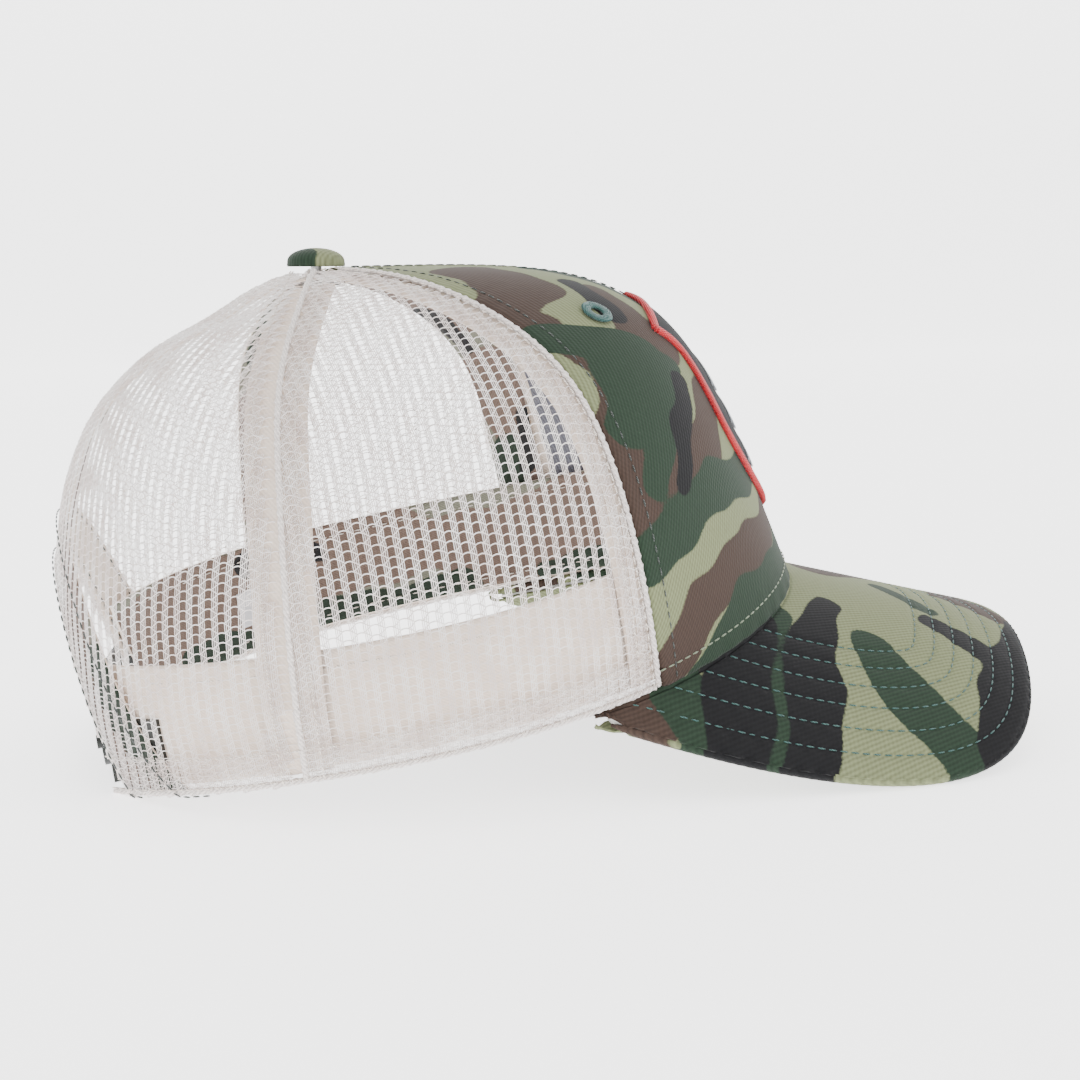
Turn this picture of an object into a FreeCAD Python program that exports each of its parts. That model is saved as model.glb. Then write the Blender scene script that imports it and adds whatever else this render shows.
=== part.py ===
import FreeCAD, Part
import math
import os
from FreeCAD import Placement, Rotation, Vector

# Six-panel trucker cap: two twill front panels on a stiff lining, four net panels, taped seams, a
# sweatband, a curved bill of a board between two covers, a covered button, two eyelets, a crest
# patch, and a two-piece plastic snap strap across an arched opening at the back.
# +X points out over the bill, +Y to the wearer's left, +Z up. The cap stands on the back corners
# of its hem and on the two side edges of its bill. Millimetres.

doc = FreeCAD.newDocument("TruckerCap")
sheet = doc.addObject("Spreadsheet::Sheet", "Sizes")
SIZES = [
    ("front_reach", 135.5, "button to the middle of the front hem, level"),
    ("front_drop", 88.0, "button down to the middle of the front hem"),
    ("rear_reach", 71.5, "button back to the line of the rear hem"),
    ("rear_drop", 136.5, "button down to the line of the rear hem"),
    ("side_reach", 75.0, "button out to the side hem"),
    ("side_drop", 115.0, "button down to the side hem"),
    ("front_seam_deg", 63.0, "front seam at the hem, from straight ahead"),
    ("side_seam_deg", 115.0, "side seam at the hem, from straight ahead"),
    ("twill_thick", 0.7, "cotton twill"),
    ("mesh_thick", 0.9, "knitted net"),
    ("lining_thick", 0.6, "buckram behind the front panels"),
    ("ply_gap", 0.1, "clearance between sewn plies"),
    ("seam_gap", 0.3, "clearance between butted panels"),
    ("tape_width", 16.0, "seam tape"),
    ("tape_thick", 0.5, "seam tape"),
    ("band_height", 36.0, "sweatband, hem to top edge"),
    ("band_thick", 1.0, "sweatband"),
    ("arch_half_width", 41.0, "rear opening at the hem, half its width"),
    ("arch_height", 60.0, "rear opening above the hem"),
    ("binding_width", 14.0, "binding of the rear opening"),
    ("bill_reach", 71.0, "front hem to the tip of the bill, level"),
    ("bill_tip_rise", 28.0, "tip of the bill above the rear hem line"),
    ("bill_arch_radius", 109.0, "bend of the bill across its tip"),
    ("bill_corner_deg", 75.0, "where the bill ends on the hem"),
    ("board_thick", 1.8, "plastic bill board"),
    ("board_inset", 1.5, "bill board inside its covers"),
    ("opening_depth", 70.0, "rear opening's cutter, long enough to pass the back of the crown"),
    ("opening_sag", 30.0, "the cutter goes on this far below the hem"),
    ("button_diameter", 15.6, "covered button"),
    ("button_height", 5.0, "covered button"),
    ("button_seat", 0.5, "clearance between the button's rim and the cloth"),
    ("button_skirt", 1.2, "straight side of the button under its dome"),
    ("cover_thick", 0.6, "cloth over the button"),
    ("shell_thick", 0.5, "steel shell of the button"),
    ("shell_rise", 0.2, "the shell's rim above the cover's rim"),
    ("rivet_diameter", 3.0, "post of the button"),
    ("rivet_plate_diameter", 13.0, "plate inside the crown"),
    ("rivet_plate_thick", 0.8, "plate inside the crown"),
    ("rivet_play", 1.2, "clearance between the plate and the centre tape"),
    ("post_play", 0.3, "clearance between the post and the shell"),
    ("eyelet_diameter", 9.0, "stitched eyelet"),
    ("eyelet_hole", 3.2, "hole in the eyelet"),
    ("eyelet_edge", 0.2, "straight edge of the eyelet"),
    ("eyelet_crown", 1.1, "eyelet's full height"),
    ("patch_width", 70.0, "crest patch"),
    ("patch_height", 76.0, "crest patch"),
    ("patch_border", 2.6, "merrowed border of the patch"),
    ("strap_width", 19.0, "snap strap"),
    ("strap_thick", 1.3, "snap strap"),
    ("strap_gap", 0.4, "clearance between the two strap halves"),
    ("strap_bend", 260.0, "radius of the closed strap"),
    ("strap_pitch", 8.0, "hole to hole"),
    ("stud_diameter", 3.6, "stud of the strap"),
    ("stud_height", 2.6, "stud of the strap"),
    ("stud_clearance", 0.45, "stud to the edge of its hole"),
    ("tab_length", 20.0, "sewn end of each strap half"),
    ("tab_gap", 3.6, "clearance between a sewn end and its free strap, for the swing"),
    ("label_length", 26.0, "blank woven label"),
    ("label_height", 12.0, "blank woven label"),
    ("label_thick", 0.3, "blank woven label"),
]
for row, (alias, value, note) in enumerate(SIZES, start=1):
    sheet.set("A%d" % row, note)
    sheet.set("B%d" % row, str(value))
    sheet.setAlias("B%d" % row, alias)
doc.recompute()


def size(alias):
    return float(sheet.get(alias))


# Outlines of the crown from the button to the hem, as control points of a curve: how far out, as
# a share of the reach, and how far down, as a share of the drop.
FRONT_LINE = [(0, 0), (0.36, 0), (0.745, -0.062), (0.723, 0.148), (0.863, 0.5), (1, 1)]
REAR_LINE = [(0, 0), (0.413, 0), (0.28, 0.256), (1.245, -0.073), (1, 1)]
SIDE_LINE = [(0, 0), (0.46, 0), (1.107, 0.248), (1.327, 0.657), (1, 1)]
HEM_DIP = -5.0               # the hem dips between the front and the side, mm
FRONT_SEAM_SWING_DEG = 15.0  # the front seam swings forward towards the button
SIDE_SEAM_SWING_DEG = 10.0   # so does the side seam
LINE_STEPS = 400
BUTTON_HOLE_RUN = 0.02       # the panels stop here, round the button's post
TAPE_START_RUN = 0.11        # the short tapes start here, clear of each other
NUDGE = 1e-4                 # step for slopes of the crown's surface


def curve_point(controls, t):
    points = [Vector(*p) for p in controls]
    while len(points) > 1:
        points = [a * (1 - t) + b * t for a, b in zip(points, points[1:])]
    return points[0]


def even_line(line, reach, drop):
    """Points of an outline at even distances along it."""
    controls = [(out * reach, -down * drop, 0) for out, down in line]
    raw = [curve_point(controls, i / LINE_STEPS) for i in range(LINE_STEPS + 1)]
    runs = [0.0]
    for a, b in zip(raw, raw[1:]):
        runs.append(runs[-1] + a.distanceToPoint(b))
    even, k = [], 0
    for i in range(LINE_STEPS + 1):
        want = runs[-1] * i / LINE_STEPS
        while k < LINE_STEPS - 1 and runs[k + 1] < want:
            k += 1
        share = (want - runs[k]) / (runs[k + 1] - runs[k])
        even.append(raw[k] * (1 - share) + raw[k + 1] * share)
    return even, runs[-1]


front_line, front_length = even_line(FRONT_LINE, size("front_reach"), size("front_drop"))
rear_line, rear_length = even_line(REAR_LINE, size("rear_reach"), size("rear_drop"))
side_line, side_length = even_line(SIDE_LINE, size("side_reach"), size("side_drop"))


def on_line(line, run):
    at = min(max(run, 0.0), 1.0) * LINE_STEPS
    k = min(int(at), LINE_STEPS - 1)
    return line[k] * (1 - (at - k)) + line[k + 1] * (at - k)


def crown_skin(turn, run):
    """Outer face of the crown: turn 0 at the front, positive to the left; run 0 at the button,
    1 at the hem."""
    front, rear, side = (on_line(line, run) for line in (front_line, rear_line, side_line))
    ahead = math.cos(turn)
    x = (front.x - rear.x) / 2 + (front.x + rear.x) / 2 * ahead
    tilt = (front.y - rear.y) / 2
    bow = (front.y + rear.y) / 2 - side.y
    dip = HEM_DIP * run ** 3 * (ahead - ahead ** 3)
    return Vector(x, side.x * math.sin(turn), side.y + tilt * ahead + bow * ahead ** 2 + dip)


def crown_out(turn, run):
    """Unit vector square to the crown, pointing outwards."""
    run = min(max(run, BUTTON_HOLE_RUN), 1 - NUDGE)
    around = crown_skin(turn + NUDGE, run) - crown_skin(turn - NUDGE, run)
    down = crown_skin(turn, run + NUDGE) - crown_skin(turn, run - NUDGE)
    out = around.cross(down).negative()
    return out.normalize()


def crown(turn, run, depth=0.0):
    """A point under the outer face of the crown."""
    return crown_skin(turn, run) - crown_out(turn, run) * depth


def front_seam(run):
    return math.radians(size("front_seam_deg") - FRONT_SEAM_SWING_DEG * (1 - run))


def side_seam(run):
    return math.radians(size("side_seam_deg") - SIDE_SEAM_SWING_DEG * (1 - run))


def girth(turn, run):
    """How many mm of cloth one radian of turn is."""
    return (crown_skin(turn + NUDGE, run) - crown_skin(turn - NUDGE, run)).Length / (2 * NUDGE)


def fall(turn, run):
    """How many mm of cloth one unit of run is."""
    low, high = max(run - NUDGE, 0), min(run + NUDGE, 1)
    return (crown_skin(turn, high) - crown_skin(turn, low)).Length / (high - low)


def run_above_hem(turn, height):
    """The run that lies this far above the hem, measured on the cloth."""
    run = 1.0
    for _ in range(4):
        run = 1 - height / fall(turn, (1 + run) / 2)
    return run


def cloth(outer, inner, across, along):
    """A closed solid between two faces that share their parameters."""
    def face_of(place):
        surface = Part.BSplineSurface()
        surface.interpolate([[place(i / across, j / along) for j in range(along + 1)]
                             for i in range(across + 1)])
        return surface
    top, bottom = face_of(outer), face_of(inner)
    faces = [top.toShape(), bottom.toShape()]
    ends = top.bounds()
    low = bottom.bounds()
    for k in (0, 1):
        faces.append(Part.makeRuledSurface(top.uIso(ends[k]).toShape(), bottom.uIso(low[k]).toShape()))
        faces.append(Part.makeRuledSurface(top.vIso(ends[k + 2]).toShape(),
                                           bottom.vIso(low[k + 2]).toShape()))
    skin = Part.makeCompound(faces)
    skin.sewShape()
    solid = Part.Solid(Part.Shell(skin.Faces))
    if solid.Volume < 0:
        solid.reverse()
    return solid


def crown_ply(place, depth, thick, across=12, along=16):
    """A ply of the crown; place(u, v) gives its turn and run."""
    return cloth(lambda u, v: crown(*place(u, v), depth),
                 lambda u, v: crown(*place(u, v), depth + thick), across, along)


def mirrored(shape):
    return shape.mirror(Vector(0, 0, 0), Vector(0, 1, 0))


nodes = {}


def add_feature(label, shape, placement=None):
    feature = doc.addObject("Part::Feature", label)
    feature.Label = label
    feature.Shape = shape
    if placement:
        feature.Placement = placement
    nodes[label] = feature


def bound(kind, label, **sizes):
    """A primitive whose sizes are bound to the sheet."""
    thing = doc.addObject(kind, label)
    for name, expression in sizes.items():
        thing.setExpression(name, expression)
    return thing


def raised(thing, expression):
    """Lifts a primitive along Z, bound to the sheet."""
    thing.setExpression(".Placement.Base.z", expression)
    return thing


def joined(kind, label, base, tool):
    """A Part::Cut, Part::Fuse or Part::Common of two objects."""
    thing = doc.addObject(kind, label)
    thing.Base = base
    thing.Tool = tool
    return thing


def add_node(label, thing, placement=None):
    thing.Label = label
    if placement:
        thing.Placement = placement
    nodes[label] = thing


# ---- depths of the plies, from the outer face inwards
lining_depth = size("twill_thick") + size("ply_gap")
tape_depth = lining_depth + size("lining_thick") + size("ply_gap")
centre_tape_depth = tape_depth + size("tape_thick") + size("ply_gap")
tab_depth = centre_tape_depth
band_depth = tab_depth + size("strap_thick") + 2 * size("ply_gap")


def half_gap(turn, run):
    """Half the clearance between two panels, as a turn."""
    return size("seam_gap") / 2 / girth(turn, run)


def between(left, right):
    """Places of a panel between two seams, from the button's post to the hem."""
    def place(u, v):
        run = BUTTON_HOLE_RUN + (1 - BUTTON_HOLE_RUN) * v
        start, stop = left(run) + half_gap(left(run), run), right(run) - half_gap(right(run), run)
        return start + (stop - start) * u, run
    return place


# ---- the rear opening, a half ellipse on a box, that cuts the back panels, the sweatband and tape
hem_back = crown_skin(math.pi, 1.0)


def opening_cutter(label, margin):
    """The opening along X, drawn out by a margin; both are expressions on the sheet."""
    half_width = "(Sizes.arch_half_width + %s)" % margin
    height = "(Sizes.arch_height + %s)" % margin
    arch = bound("Part::Ellipse", label + "_arch", MajorRadius="max(%s; %s)" % (half_width, height),
                 MinorRadius="min(%s; %s)" % (half_width, height))
    upright = size("arch_height") >= size("arch_half_width")
    along, aside = (Vector(0, 0, 1), Vector(0, 1, 0)) if upright else (Vector(0, 1, 0), Vector(0, 0, 1))
    arch.Placement = Placement(Vector(), Rotation(along, aside, along.cross(aside), "ZXY"))
    prism = bound("Part::Extrusion", label + "_prism", LengthFwd="Sizes.opening_depth")
    prism.Base = arch
    prism.DirMode = "Custom"
    prism.Dir = Vector(1, 0, 0)
    prism.Symmetric = True
    prism.Solid = True
    foot = bound("Part::Box", label + "_foot", Length="Sizes.opening_depth", Width="2 * " + half_width,
                 Height="Sizes.opening_sag")
    foot.setExpression(".Placement.Base.x", "-Sizes.opening_depth / 2")
    foot.setExpression(".Placement.Base.y", "-" + half_width)
    raised(foot, "-Sizes.opening_sag")
    cutter = joined("Part::Fuse", label, prism, foot)
    cutter.Placement = Placement(Vector(hem_back.x, 0, hem_back.z), Rotation())
    doc.recompute()
    return cutter.Shape.copy()


opening = opening_cutter("rear_opening", "0")
opening_wide = opening_cutter("rear_opening_binding", "Sizes.binding_width")

# ---- front panels and their lining, with a hole for each eyelet
EYELET_TURN_DEG = 35.0
EYELET_RUN = 0.455
centre_line = lambda run: 0.0
rear_line_turn = lambda run: math.pi
PUNCH_PLAY = 0.3        # the cloth's hole is this much wider, all round, than the eyelet's
PUNCH_LENGTH = 12.0
eyelet_turn = math.radians(EYELET_TURN_DEG)
eyelet_axis = crown_out(eyelet_turn, EYELET_RUN)
eyelet_place = crown_skin(eyelet_turn, EYELET_RUN)
punch = Part.makeCylinder(size("eyelet_hole") / 2 + PUNCH_PLAY, PUNCH_LENGTH,
                          eyelet_place - eyelet_axis * (PUNCH_LENGTH / 2), eyelet_axis)

front_left = crown_ply(between(centre_line, front_seam), 0, size("twill_thick"), 14, 22).cut(punch)
LINING_SETBACK = 0.12   # the lining stops short of the seams, radians at the hem
LINING_START_RUN, LINING_STOP_RUN = 0.06, 0.985
TAPE_STOP_RUN = 0.99    # the tapes end short of the hem's fold
HEM_FOLD_RUN = 0.995    # so do the binding and the sweatband


def lining_place(u, v):
    run = LINING_START_RUN + (LINING_STOP_RUN - LINING_START_RUN) * v
    start, stop = half_gap(0.0, run), front_seam(run) - LINING_SETBACK
    return start + (stop - start) * u, run


lining_left = crown_ply(lining_place, lining_depth, size("lining_thick"), 12, 20).cut(punch)
add_feature("front_panel_left", front_left)
add_feature("front_panel_right", mirrored(front_left))
add_feature("front_lining_left", lining_left)
add_feature("front_lining_right", mirrored(lining_left))

# ---- net panels: two at the sides, two at the back, cut by the rear opening
side_left = crown_ply(between(front_seam, side_seam), 0, size("mesh_thick"), 12, 20)
back_left = crown_ply(between(side_seam, rear_line_turn), 0, size("mesh_thick"), 12, 20).cut(opening)
add_feature("side_mesh_left", side_left)
add_feature("side_mesh_right", mirrored(side_left))
add_feature("back_mesh_left", back_left)
add_feature("back_mesh_right", mirrored(back_left))


# ---- seam tapes: four short ones, and a long one over the top from the front to the opening
def tape_over(seam):
    def place(u, v):
        run = TAPE_START_RUN + (TAPE_STOP_RUN - TAPE_START_RUN) * v
        return seam(run) + (u - 0.5) * size("tape_width") / girth(seam(run), run), run
    return place


for name, seam in (("front_seam_tape", front_seam), ("side_seam_tape", side_seam)):
    tape = crown_ply(tape_over(seam), tape_depth, size("tape_thick"), 4, 20)
    add_feature(name + "_left", tape)
    add_feature(name + "_right", mirrored(tape))

CROSS_BEND = 72.0              # the crown's curve from side to side along its middle, mm
CENTRE_TAPE_START = 0.015      # ends of the centre tape, shares of the line over the top
CENTRE_TAPE_SHARE = 0.95
SLOPE_REACH = 0.5              # mm either side, for the slope of that line
POST_HOLE_PLAY, POST_HOLE_LENGTH = 0.2, 30.0


def centre_tape_point(u, v, depth):
    total = front_length + rear_length
    at = (CENTRE_TAPE_START + v * CENTRE_TAPE_SHARE) * total - front_length
    if at < 0:
        turn, run = 0.0, -at / front_length
    else:
        turn, run = math.pi, at / rear_length
    middle = crown_skin(turn, run)
    ahead, behind = crown_middle(at - SLOPE_REACH), crown_middle(at + SLOPE_REACH)
    out = Vector(0, 1, 0).cross(behind - ahead).normalize()
    aside = (u - 0.5) * size("tape_width")
    return middle + Vector(0, aside, 0) - out * (depth + aside ** 2 / (2 * CROSS_BEND))


def crown_middle(at):
    """A point on the middle line, by distance from the button, negative to the front."""
    if at < 0:
        return crown_skin(0.0, min(-at / front_length, 1.0))
    return crown_skin(math.pi, min(at / rear_length, 1.0))


post_hole = Part.makeCylinder(size("rivet_diameter") / 2 + POST_HOLE_PLAY, POST_HOLE_LENGTH,
                              Vector(0, 0, -POST_HOLE_LENGTH / 2))
centre_tape = cloth(lambda u, v: centre_tape_point(u, v, centre_tape_depth),
                    lambda u, v: centre_tape_point(u, v, centre_tape_depth + size("tape_thick")), 4, 40)
add_feature("centre_seam_tape", centre_tape.cut(opening_wide).cut(post_hole))


# ---- binding round the rear opening
BINDING_REACH_DEG = 52.0   # either side of the back, wider than the binding reaches
BINDING_TOP_RUN = 0.45     # above the binding


def rear_zone(u, v):
    reach = math.radians(BINDING_REACH_DEG)
    return math.pi + reach * (2 * u - 1), BINDING_TOP_RUN + (HEM_FOLD_RUN - BINDING_TOP_RUN) * v


binding = crown_ply(rear_zone, tape_depth, size("tape_thick"), 16, 14)
add_feature("arch_binding", binding.common(opening_wide).cut(opening))


# ---- sweatband, from one side of the rear opening round the front to the other
BAND_REACH_DEG = 168.0   # either side of the front, before the opening is cut


def band_place(u, v):
    reach = math.radians(BAND_REACH_DEG)
    turn = -reach + 2 * reach * u
    top = run_above_hem(turn, size("band_height"))
    return turn, top + (HEM_FOLD_RUN - top) * v


band = crown_ply(band_place, band_depth, size("band_thick"), 48, 6).cut(opening)
add_feature("sweatband", band)

# ---- bill: a board between a top and an under cover, sewn under the front hem
bill_turn = math.radians(size("bill_corner_deg"))
ply_stack = size("board_thick") / 2 + size("ply_gap") + size("twill_thick")
hem_front = crown_skin(0.0, 1.0)
bill_corner = crown_skin(bill_turn, 1.0)
tip = Vector(size("front_reach") + size("bill_reach"), 0, hem_back.z + size("bill_tip_rise"))
BILL_SEAM_PLAY = 0.5   # the bill hangs this far clear of the front hem
BILL_PLAN = [(0, 1), (1.01, 1.27), (0.77, 0.93), (1, 0.46), (1, 0)]
# controls of the bill's outline from above, corner to tip: shares of its length and of the
# corner's distance from the middle


def ridge_height(x):
    """The bill's middle line, straight from the front hem to the tip."""
    return hem_front.z + (tip.z - hem_front.z) * (x - hem_front.x) / (tip.x - hem_front.x)


corner_sag = ridge_height(bill_corner.x) - bill_corner.z
corner_bend = 2 * corner_sag / (bill_corner.y ** 2 + corner_sag ** 2)


def bill_surface(x, y):
    """Height of the bent bill: the bend eases from the corners to the tip."""
    share = (x - bill_corner.x) / (tip.x - bill_corner.x)
    radius = 1 / (corner_bend * (1 - share) + share / size("bill_arch_radius"))
    return ridge_height(x) - radius + math.sqrt(radius ** 2 - y ** 2)


def bill_edge(share):
    """Outer edge of the bill: share 0 at the right end of the hem, 1 at the left end."""
    half = 2 * min(share, 1 - share)
    controls = [(along, out, 0) for along, out in BILL_PLAN]
    point = curve_point(controls, half)
    x = bill_corner.x + point.x * (tip.x - bill_corner.x)
    y = point.y * bill_corner.y * (1 if share > 0.5 else -1)
    return Vector(x, y, bill_surface(x, y))


EDGE_STEPS = 200
edge_raw = [bill_edge(i / EDGE_STEPS) for i in range(EDGE_STEPS + 1)]
edge_runs = [0.0]
for a, b in zip(edge_raw, edge_raw[1:]):
    edge_runs.append(edge_runs[-1] + a.distanceToPoint(b))


def bill_rim(share):
    """The same edge at even distances along it."""
    want = share * edge_runs[-1]
    k = next(i for i in range(EDGE_STEPS) if edge_runs[i + 1] >= want - NUDGE)
    part = (want - edge_runs[k]) / (edge_runs[k + 1] - edge_runs[k])
    return edge_raw[k] * (1 - part) + edge_raw[k + 1] * part


def bill_middle(u, v):
    """Middle layer of the bill: u across from right to left, v from the hem to the edge."""
    seam = crown((2 * u - 1) * bill_turn, 1.0, size("twill_thick"))
    seam.z -= ply_stack + BILL_SEAM_PLAY
    return seam * (1 - v) + bill_rim(u) * v


SLOPE_STEP = 0.002


def bill_up(u, v):
    """Unit vector square to the bill, pointing up."""
    u = min(max(u, 2 * SLOPE_STEP), 1 - 2 * SLOPE_STEP)
    v = min(max(v, 2 * SLOPE_STEP), 1 - 2 * SLOPE_STEP)
    across = bill_middle(u + SLOPE_STEP, v) - bill_middle(u - SLOPE_STEP, v)
    out = bill_middle(u, v + SLOPE_STEP) - bill_middle(u, v - SLOPE_STEP)
    return out.cross(across).normalize()


BILL_END = 0.02   # the plies start this far round from the corners, where hem and edge meet


def bill_ply(low, high, inset):
    def place(u, v, lift):
        u = BILL_END + (1 - 2 * BILL_END) * u
        length = (bill_rim(u) - bill_middle(u, 0)).Length
        v = v * (1 - inset / (length + inset))
        return bill_middle(u, v) + bill_up(u, v) * lift
    return cloth(lambda u, v: place(u, v, high), lambda u, v: place(u, v, low), 40, 10)


half_board = size("board_thick") / 2
cover_low = half_board + size("ply_gap")
add_feature("bill_board", bill_ply(-half_board, half_board, size("board_inset")))
add_feature("bill_top_cover", bill_ply(cover_low, ply_stack, 0))
add_feature("bill_under_cover", bill_ply(-ply_stack, -cover_low, 0))

# ---- crest patch: a shield-shaped twill base, a raised border and a sewn motif
PATCH_RUN = 0.695
patch_middle = crown_skin(0.0, PATCH_RUN)
patch_out = crown_out(0.0, PATCH_RUN)
SHIELD_TOP = [(0, 0.5), (0.3, 0.45), (0.45, 0.41)]      # arched top edge, shares of width and height
SHIELD_SIDE = [(0.45, 0.41), (0.42, 0.3), (0.47, 0.12), (0.49, -0.06), (0.4, -0.26), (0.22, -0.42),
               (0, -0.5)]                               # side, from the shoulder to the point
PATCH_LIFT = 0.25                                       # the patch lies this far off the crown
PRISM = 30.0                                            # length of the prisms that cut the patch


def out_of_patch(face):
    """A prism square to the patch, from an outline drawn in its own plane."""
    prism = face.extrude(Vector(0, 0, PRISM))
    across, up = Vector(0, 1, 0), patch_out.cross(Vector(0, 1, 0))
    prism.Placement = Placement(patch_middle - patch_out * (PRISM / 2),
                                Rotation(across, up, patch_out, "ZXY"))
    return prism


def shield_prism(margin):
    """The shield, drawn in by a margin, as a prism through the crown."""
    wide, high = size("patch_width") - 2 * margin, size("patch_height") - 2 * margin
    left_side = [[(-x, y) for x, y in part] for part in (SHIELD_TOP, SHIELD_SIDE)]
    right_side = [part[::-1] for part in (SHIELD_SIDE, SHIELD_TOP)]
    edges = []
    for part in left_side + right_side:
        curve = Part.BSplineCurve()
        curve.interpolate([Vector(x * wide, y * high, 0) for x, y in part])
        edges.append(curve.toShape())
    return out_of_patch(Part.Face(Part.Wire(edges)))


PATCH_ZONE_DEG = 34.0                     # the patch is cut from this piece of the front
PATCH_ZONE_TOP, PATCH_ZONE_FOOT = 0.4, 0.98


def patch_zone(u, v):
    return math.radians(PATCH_ZONE_DEG * (2 * u - 1)), PATCH_ZONE_TOP + (PATCH_ZONE_FOOT - PATCH_ZONE_TOP) * v


def patch_ply(low, high):
    return crown_ply(patch_zone, -high, high - low, 20, 16)


PATCH_BASE_THICK = 1.0
BORDER_THICK = 1.8
MOTIF_THICK = 0.5
patch_top = PATCH_LIFT + PATCH_BASE_THICK
field = shield_prism(size("patch_border") + size("seam_gap"))
add_feature("patch_base", patch_ply(PATCH_LIFT, patch_top).common(field))
border = patch_ply(PATCH_LIFT, PATCH_LIFT + BORDER_THICK).common(shield_prism(0))
add_feature("patch_border", border.cut(shield_prism(size("patch_border"))))
CHEVRON_TOPS = (0.24, 0.08, -0.08)     # shares of the patch's height
CHEVRON_HALF, CHEVRON_DROP, CHEVRON_THICK = 0.29, 0.13, 0.07
motif_zone = patch_ply(patch_top + size("ply_gap"), patch_top + size("ply_gap") + MOTIF_THICK)
chevrons = []
for level in CHEVRON_TOPS:
    right = [(0, level), (CHEVRON_HALF, level - CHEVRON_DROP),
             (CHEVRON_HALF, level - CHEVRON_DROP - CHEVRON_THICK), (0, level - CHEVRON_THICK)]
    ring = right + [(-x, y) for x, y in (right[2], right[1], right[0])]
    corners = [Vector(x * size("patch_width"), y * size("patch_height"), 0) for x, y in ring]
    chevrons.append(motif_zone.common(out_of_patch(Part.Face(Part.makePolygon(corners)))))
add_feature("patch_motif", Part.makeCompound(chevrons))


# ---- covered button: cloth over a steel shell, held by a rivet with a plate inside the crown
def dome(label, radius, low, high):
    """A dome on a straight skirt: a cylinder within a ball whose middle is on the axis."""
    drop = "(%s - Sizes.button_skirt)" % high
    bend = "((%s ^ 2 + %s ^ 2) / (2 * %s))" % (radius, drop, drop)
    drum = raised(bound("Part::Cylinder", label + "_drum", Radius=radius,
                        Height="%s - %s" % (high, low)), low)
    ball = raised(bound("Part::Sphere", label + "_ball", Radius=bend), "%s - %s" % (high, bend))
    return joined("Part::Common", label, drum, ball)


def dome_shell(label, radius, thick, low, high):
    """A domed cap, open below."""
    outside = dome(label + "_outside", radius, low, high)
    inside = dome(label + "_inside", "(%s - %s)" % (radius, thick), low, "(%s - %s)" % (high, thick))
    return joined("Part::Cut", label, outside, inside)


BUTTON_RADIUS = "(Sizes.button_diameter / 2)"
SHELL_RADIUS = "(Sizes.button_diameter / 2 - Sizes.cover_thick - Sizes.ply_gap)"
SHELL_TOP = "(Sizes.button_height - Sizes.cover_thick - Sizes.ply_gap)"
PLATE_TOP = ("(-(Sizes.twill_thick + Sizes.lining_thick + 2 * Sizes.tape_thick + 3 * Sizes.ply_gap"
             " + Sizes.rivet_play))")
POST_TOP = "(Sizes.button_seat + %s - Sizes.shell_thick - Sizes.post_play)" % SHELL_TOP
button_place = Placement(Vector(0, 0, size("button_seat")), Rotation())
cover = dome_shell("button_cover", BUTTON_RADIUS, "Sizes.cover_thick", "0", "Sizes.button_height")
add_node("button_cover", cover, button_place)
shell = dome_shell("button_shell", SHELL_RADIUS, "Sizes.shell_thick", "Sizes.shell_rise", SHELL_TOP)
add_node("button_shell", shell, button_place)
plate = raised(bound("Part::Cylinder", "rivet_plate", Radius="Sizes.rivet_plate_diameter / 2",
                     Height="Sizes.rivet_plate_thick"), PLATE_TOP + " - Sizes.rivet_plate_thick")
post = raised(bound("Part::Cylinder", "rivet_post", Radius="Sizes.rivet_diameter / 2",
                    Height="%s - %s" % (POST_TOP, PLATE_TOP)), PLATE_TOP)
add_node("button_rivet", joined("Part::Fuse", "button_rivet", plate, post))

# ---- eyelets: a ring of thread with a rounded top, one on each front panel
EYELET_LIFT = 0.25   # the eyelet stands this far off the cloth
RING_HALF = "((Sizes.eyelet_diameter - Sizes.eyelet_hole) / 4)"
RING_RISE = "(Sizes.eyelet_crown - Sizes.eyelet_edge)"
RING_BEND = "((%s ^ 2 + %s ^ 2) / (2 * %s))" % (RING_HALF, RING_RISE, RING_RISE)
for side, name in ((1, "eyelet_left"), (-1, "eyelet_right")):
    out = Vector(eyelet_axis.x, side * eyelet_axis.y, eyelet_axis.z)
    at = Vector(eyelet_place.x, side * eyelet_place.y, eyelet_place.z) + out * EYELET_LIFT
    disc = bound("Part::Cylinder", name + "_disc", Radius="Sizes.eyelet_diameter / 2",
                 Height="Sizes.eyelet_crown")
    bore = bound("Part::Cylinder", name + "_bore", Radius="Sizes.eyelet_hole / 2",
                 Height="Sizes.eyelet_crown")
    roll = bound("Part::Torus", name + "_roll", Radius2=RING_BEND,
                 Radius1="(Sizes.eyelet_diameter + Sizes.eyelet_hole) / 4")
    raised(roll, "Sizes.eyelet_crown - %s" % RING_BEND)
    ring = joined("Part::Cut", name + "_ring", disc, bore)
    add_node(name, joined("Part::Common", name, ring, roll), Placement(at, Rotation(Vector(0, 0, 1), out)))

# ---- snap strap: a half with holes outside a half with studs
strap_r, strap_t, strap_w = size("strap_bend"), size("strap_thick"), size("strap_width")
HINGE_SETBACK = 6.0        # the free strap starts this far inside the edge of the opening
STRAP_FOOT = 3.0           # lower edge of the strap above the hem
hinge_y = size("arch_half_width") - HINGE_SETBACK


def turn_at(y, run):
    """The turn, on the left of the back, where the crown is this far from the middle."""
    low, high = math.pi / 2, math.pi
    for _ in range(40):
        mid = (low + high) / 2
        low, high = (mid, high) if crown(mid, run, tab_depth).y > y else (low, mid)
    return (low + high) / 2


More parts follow.
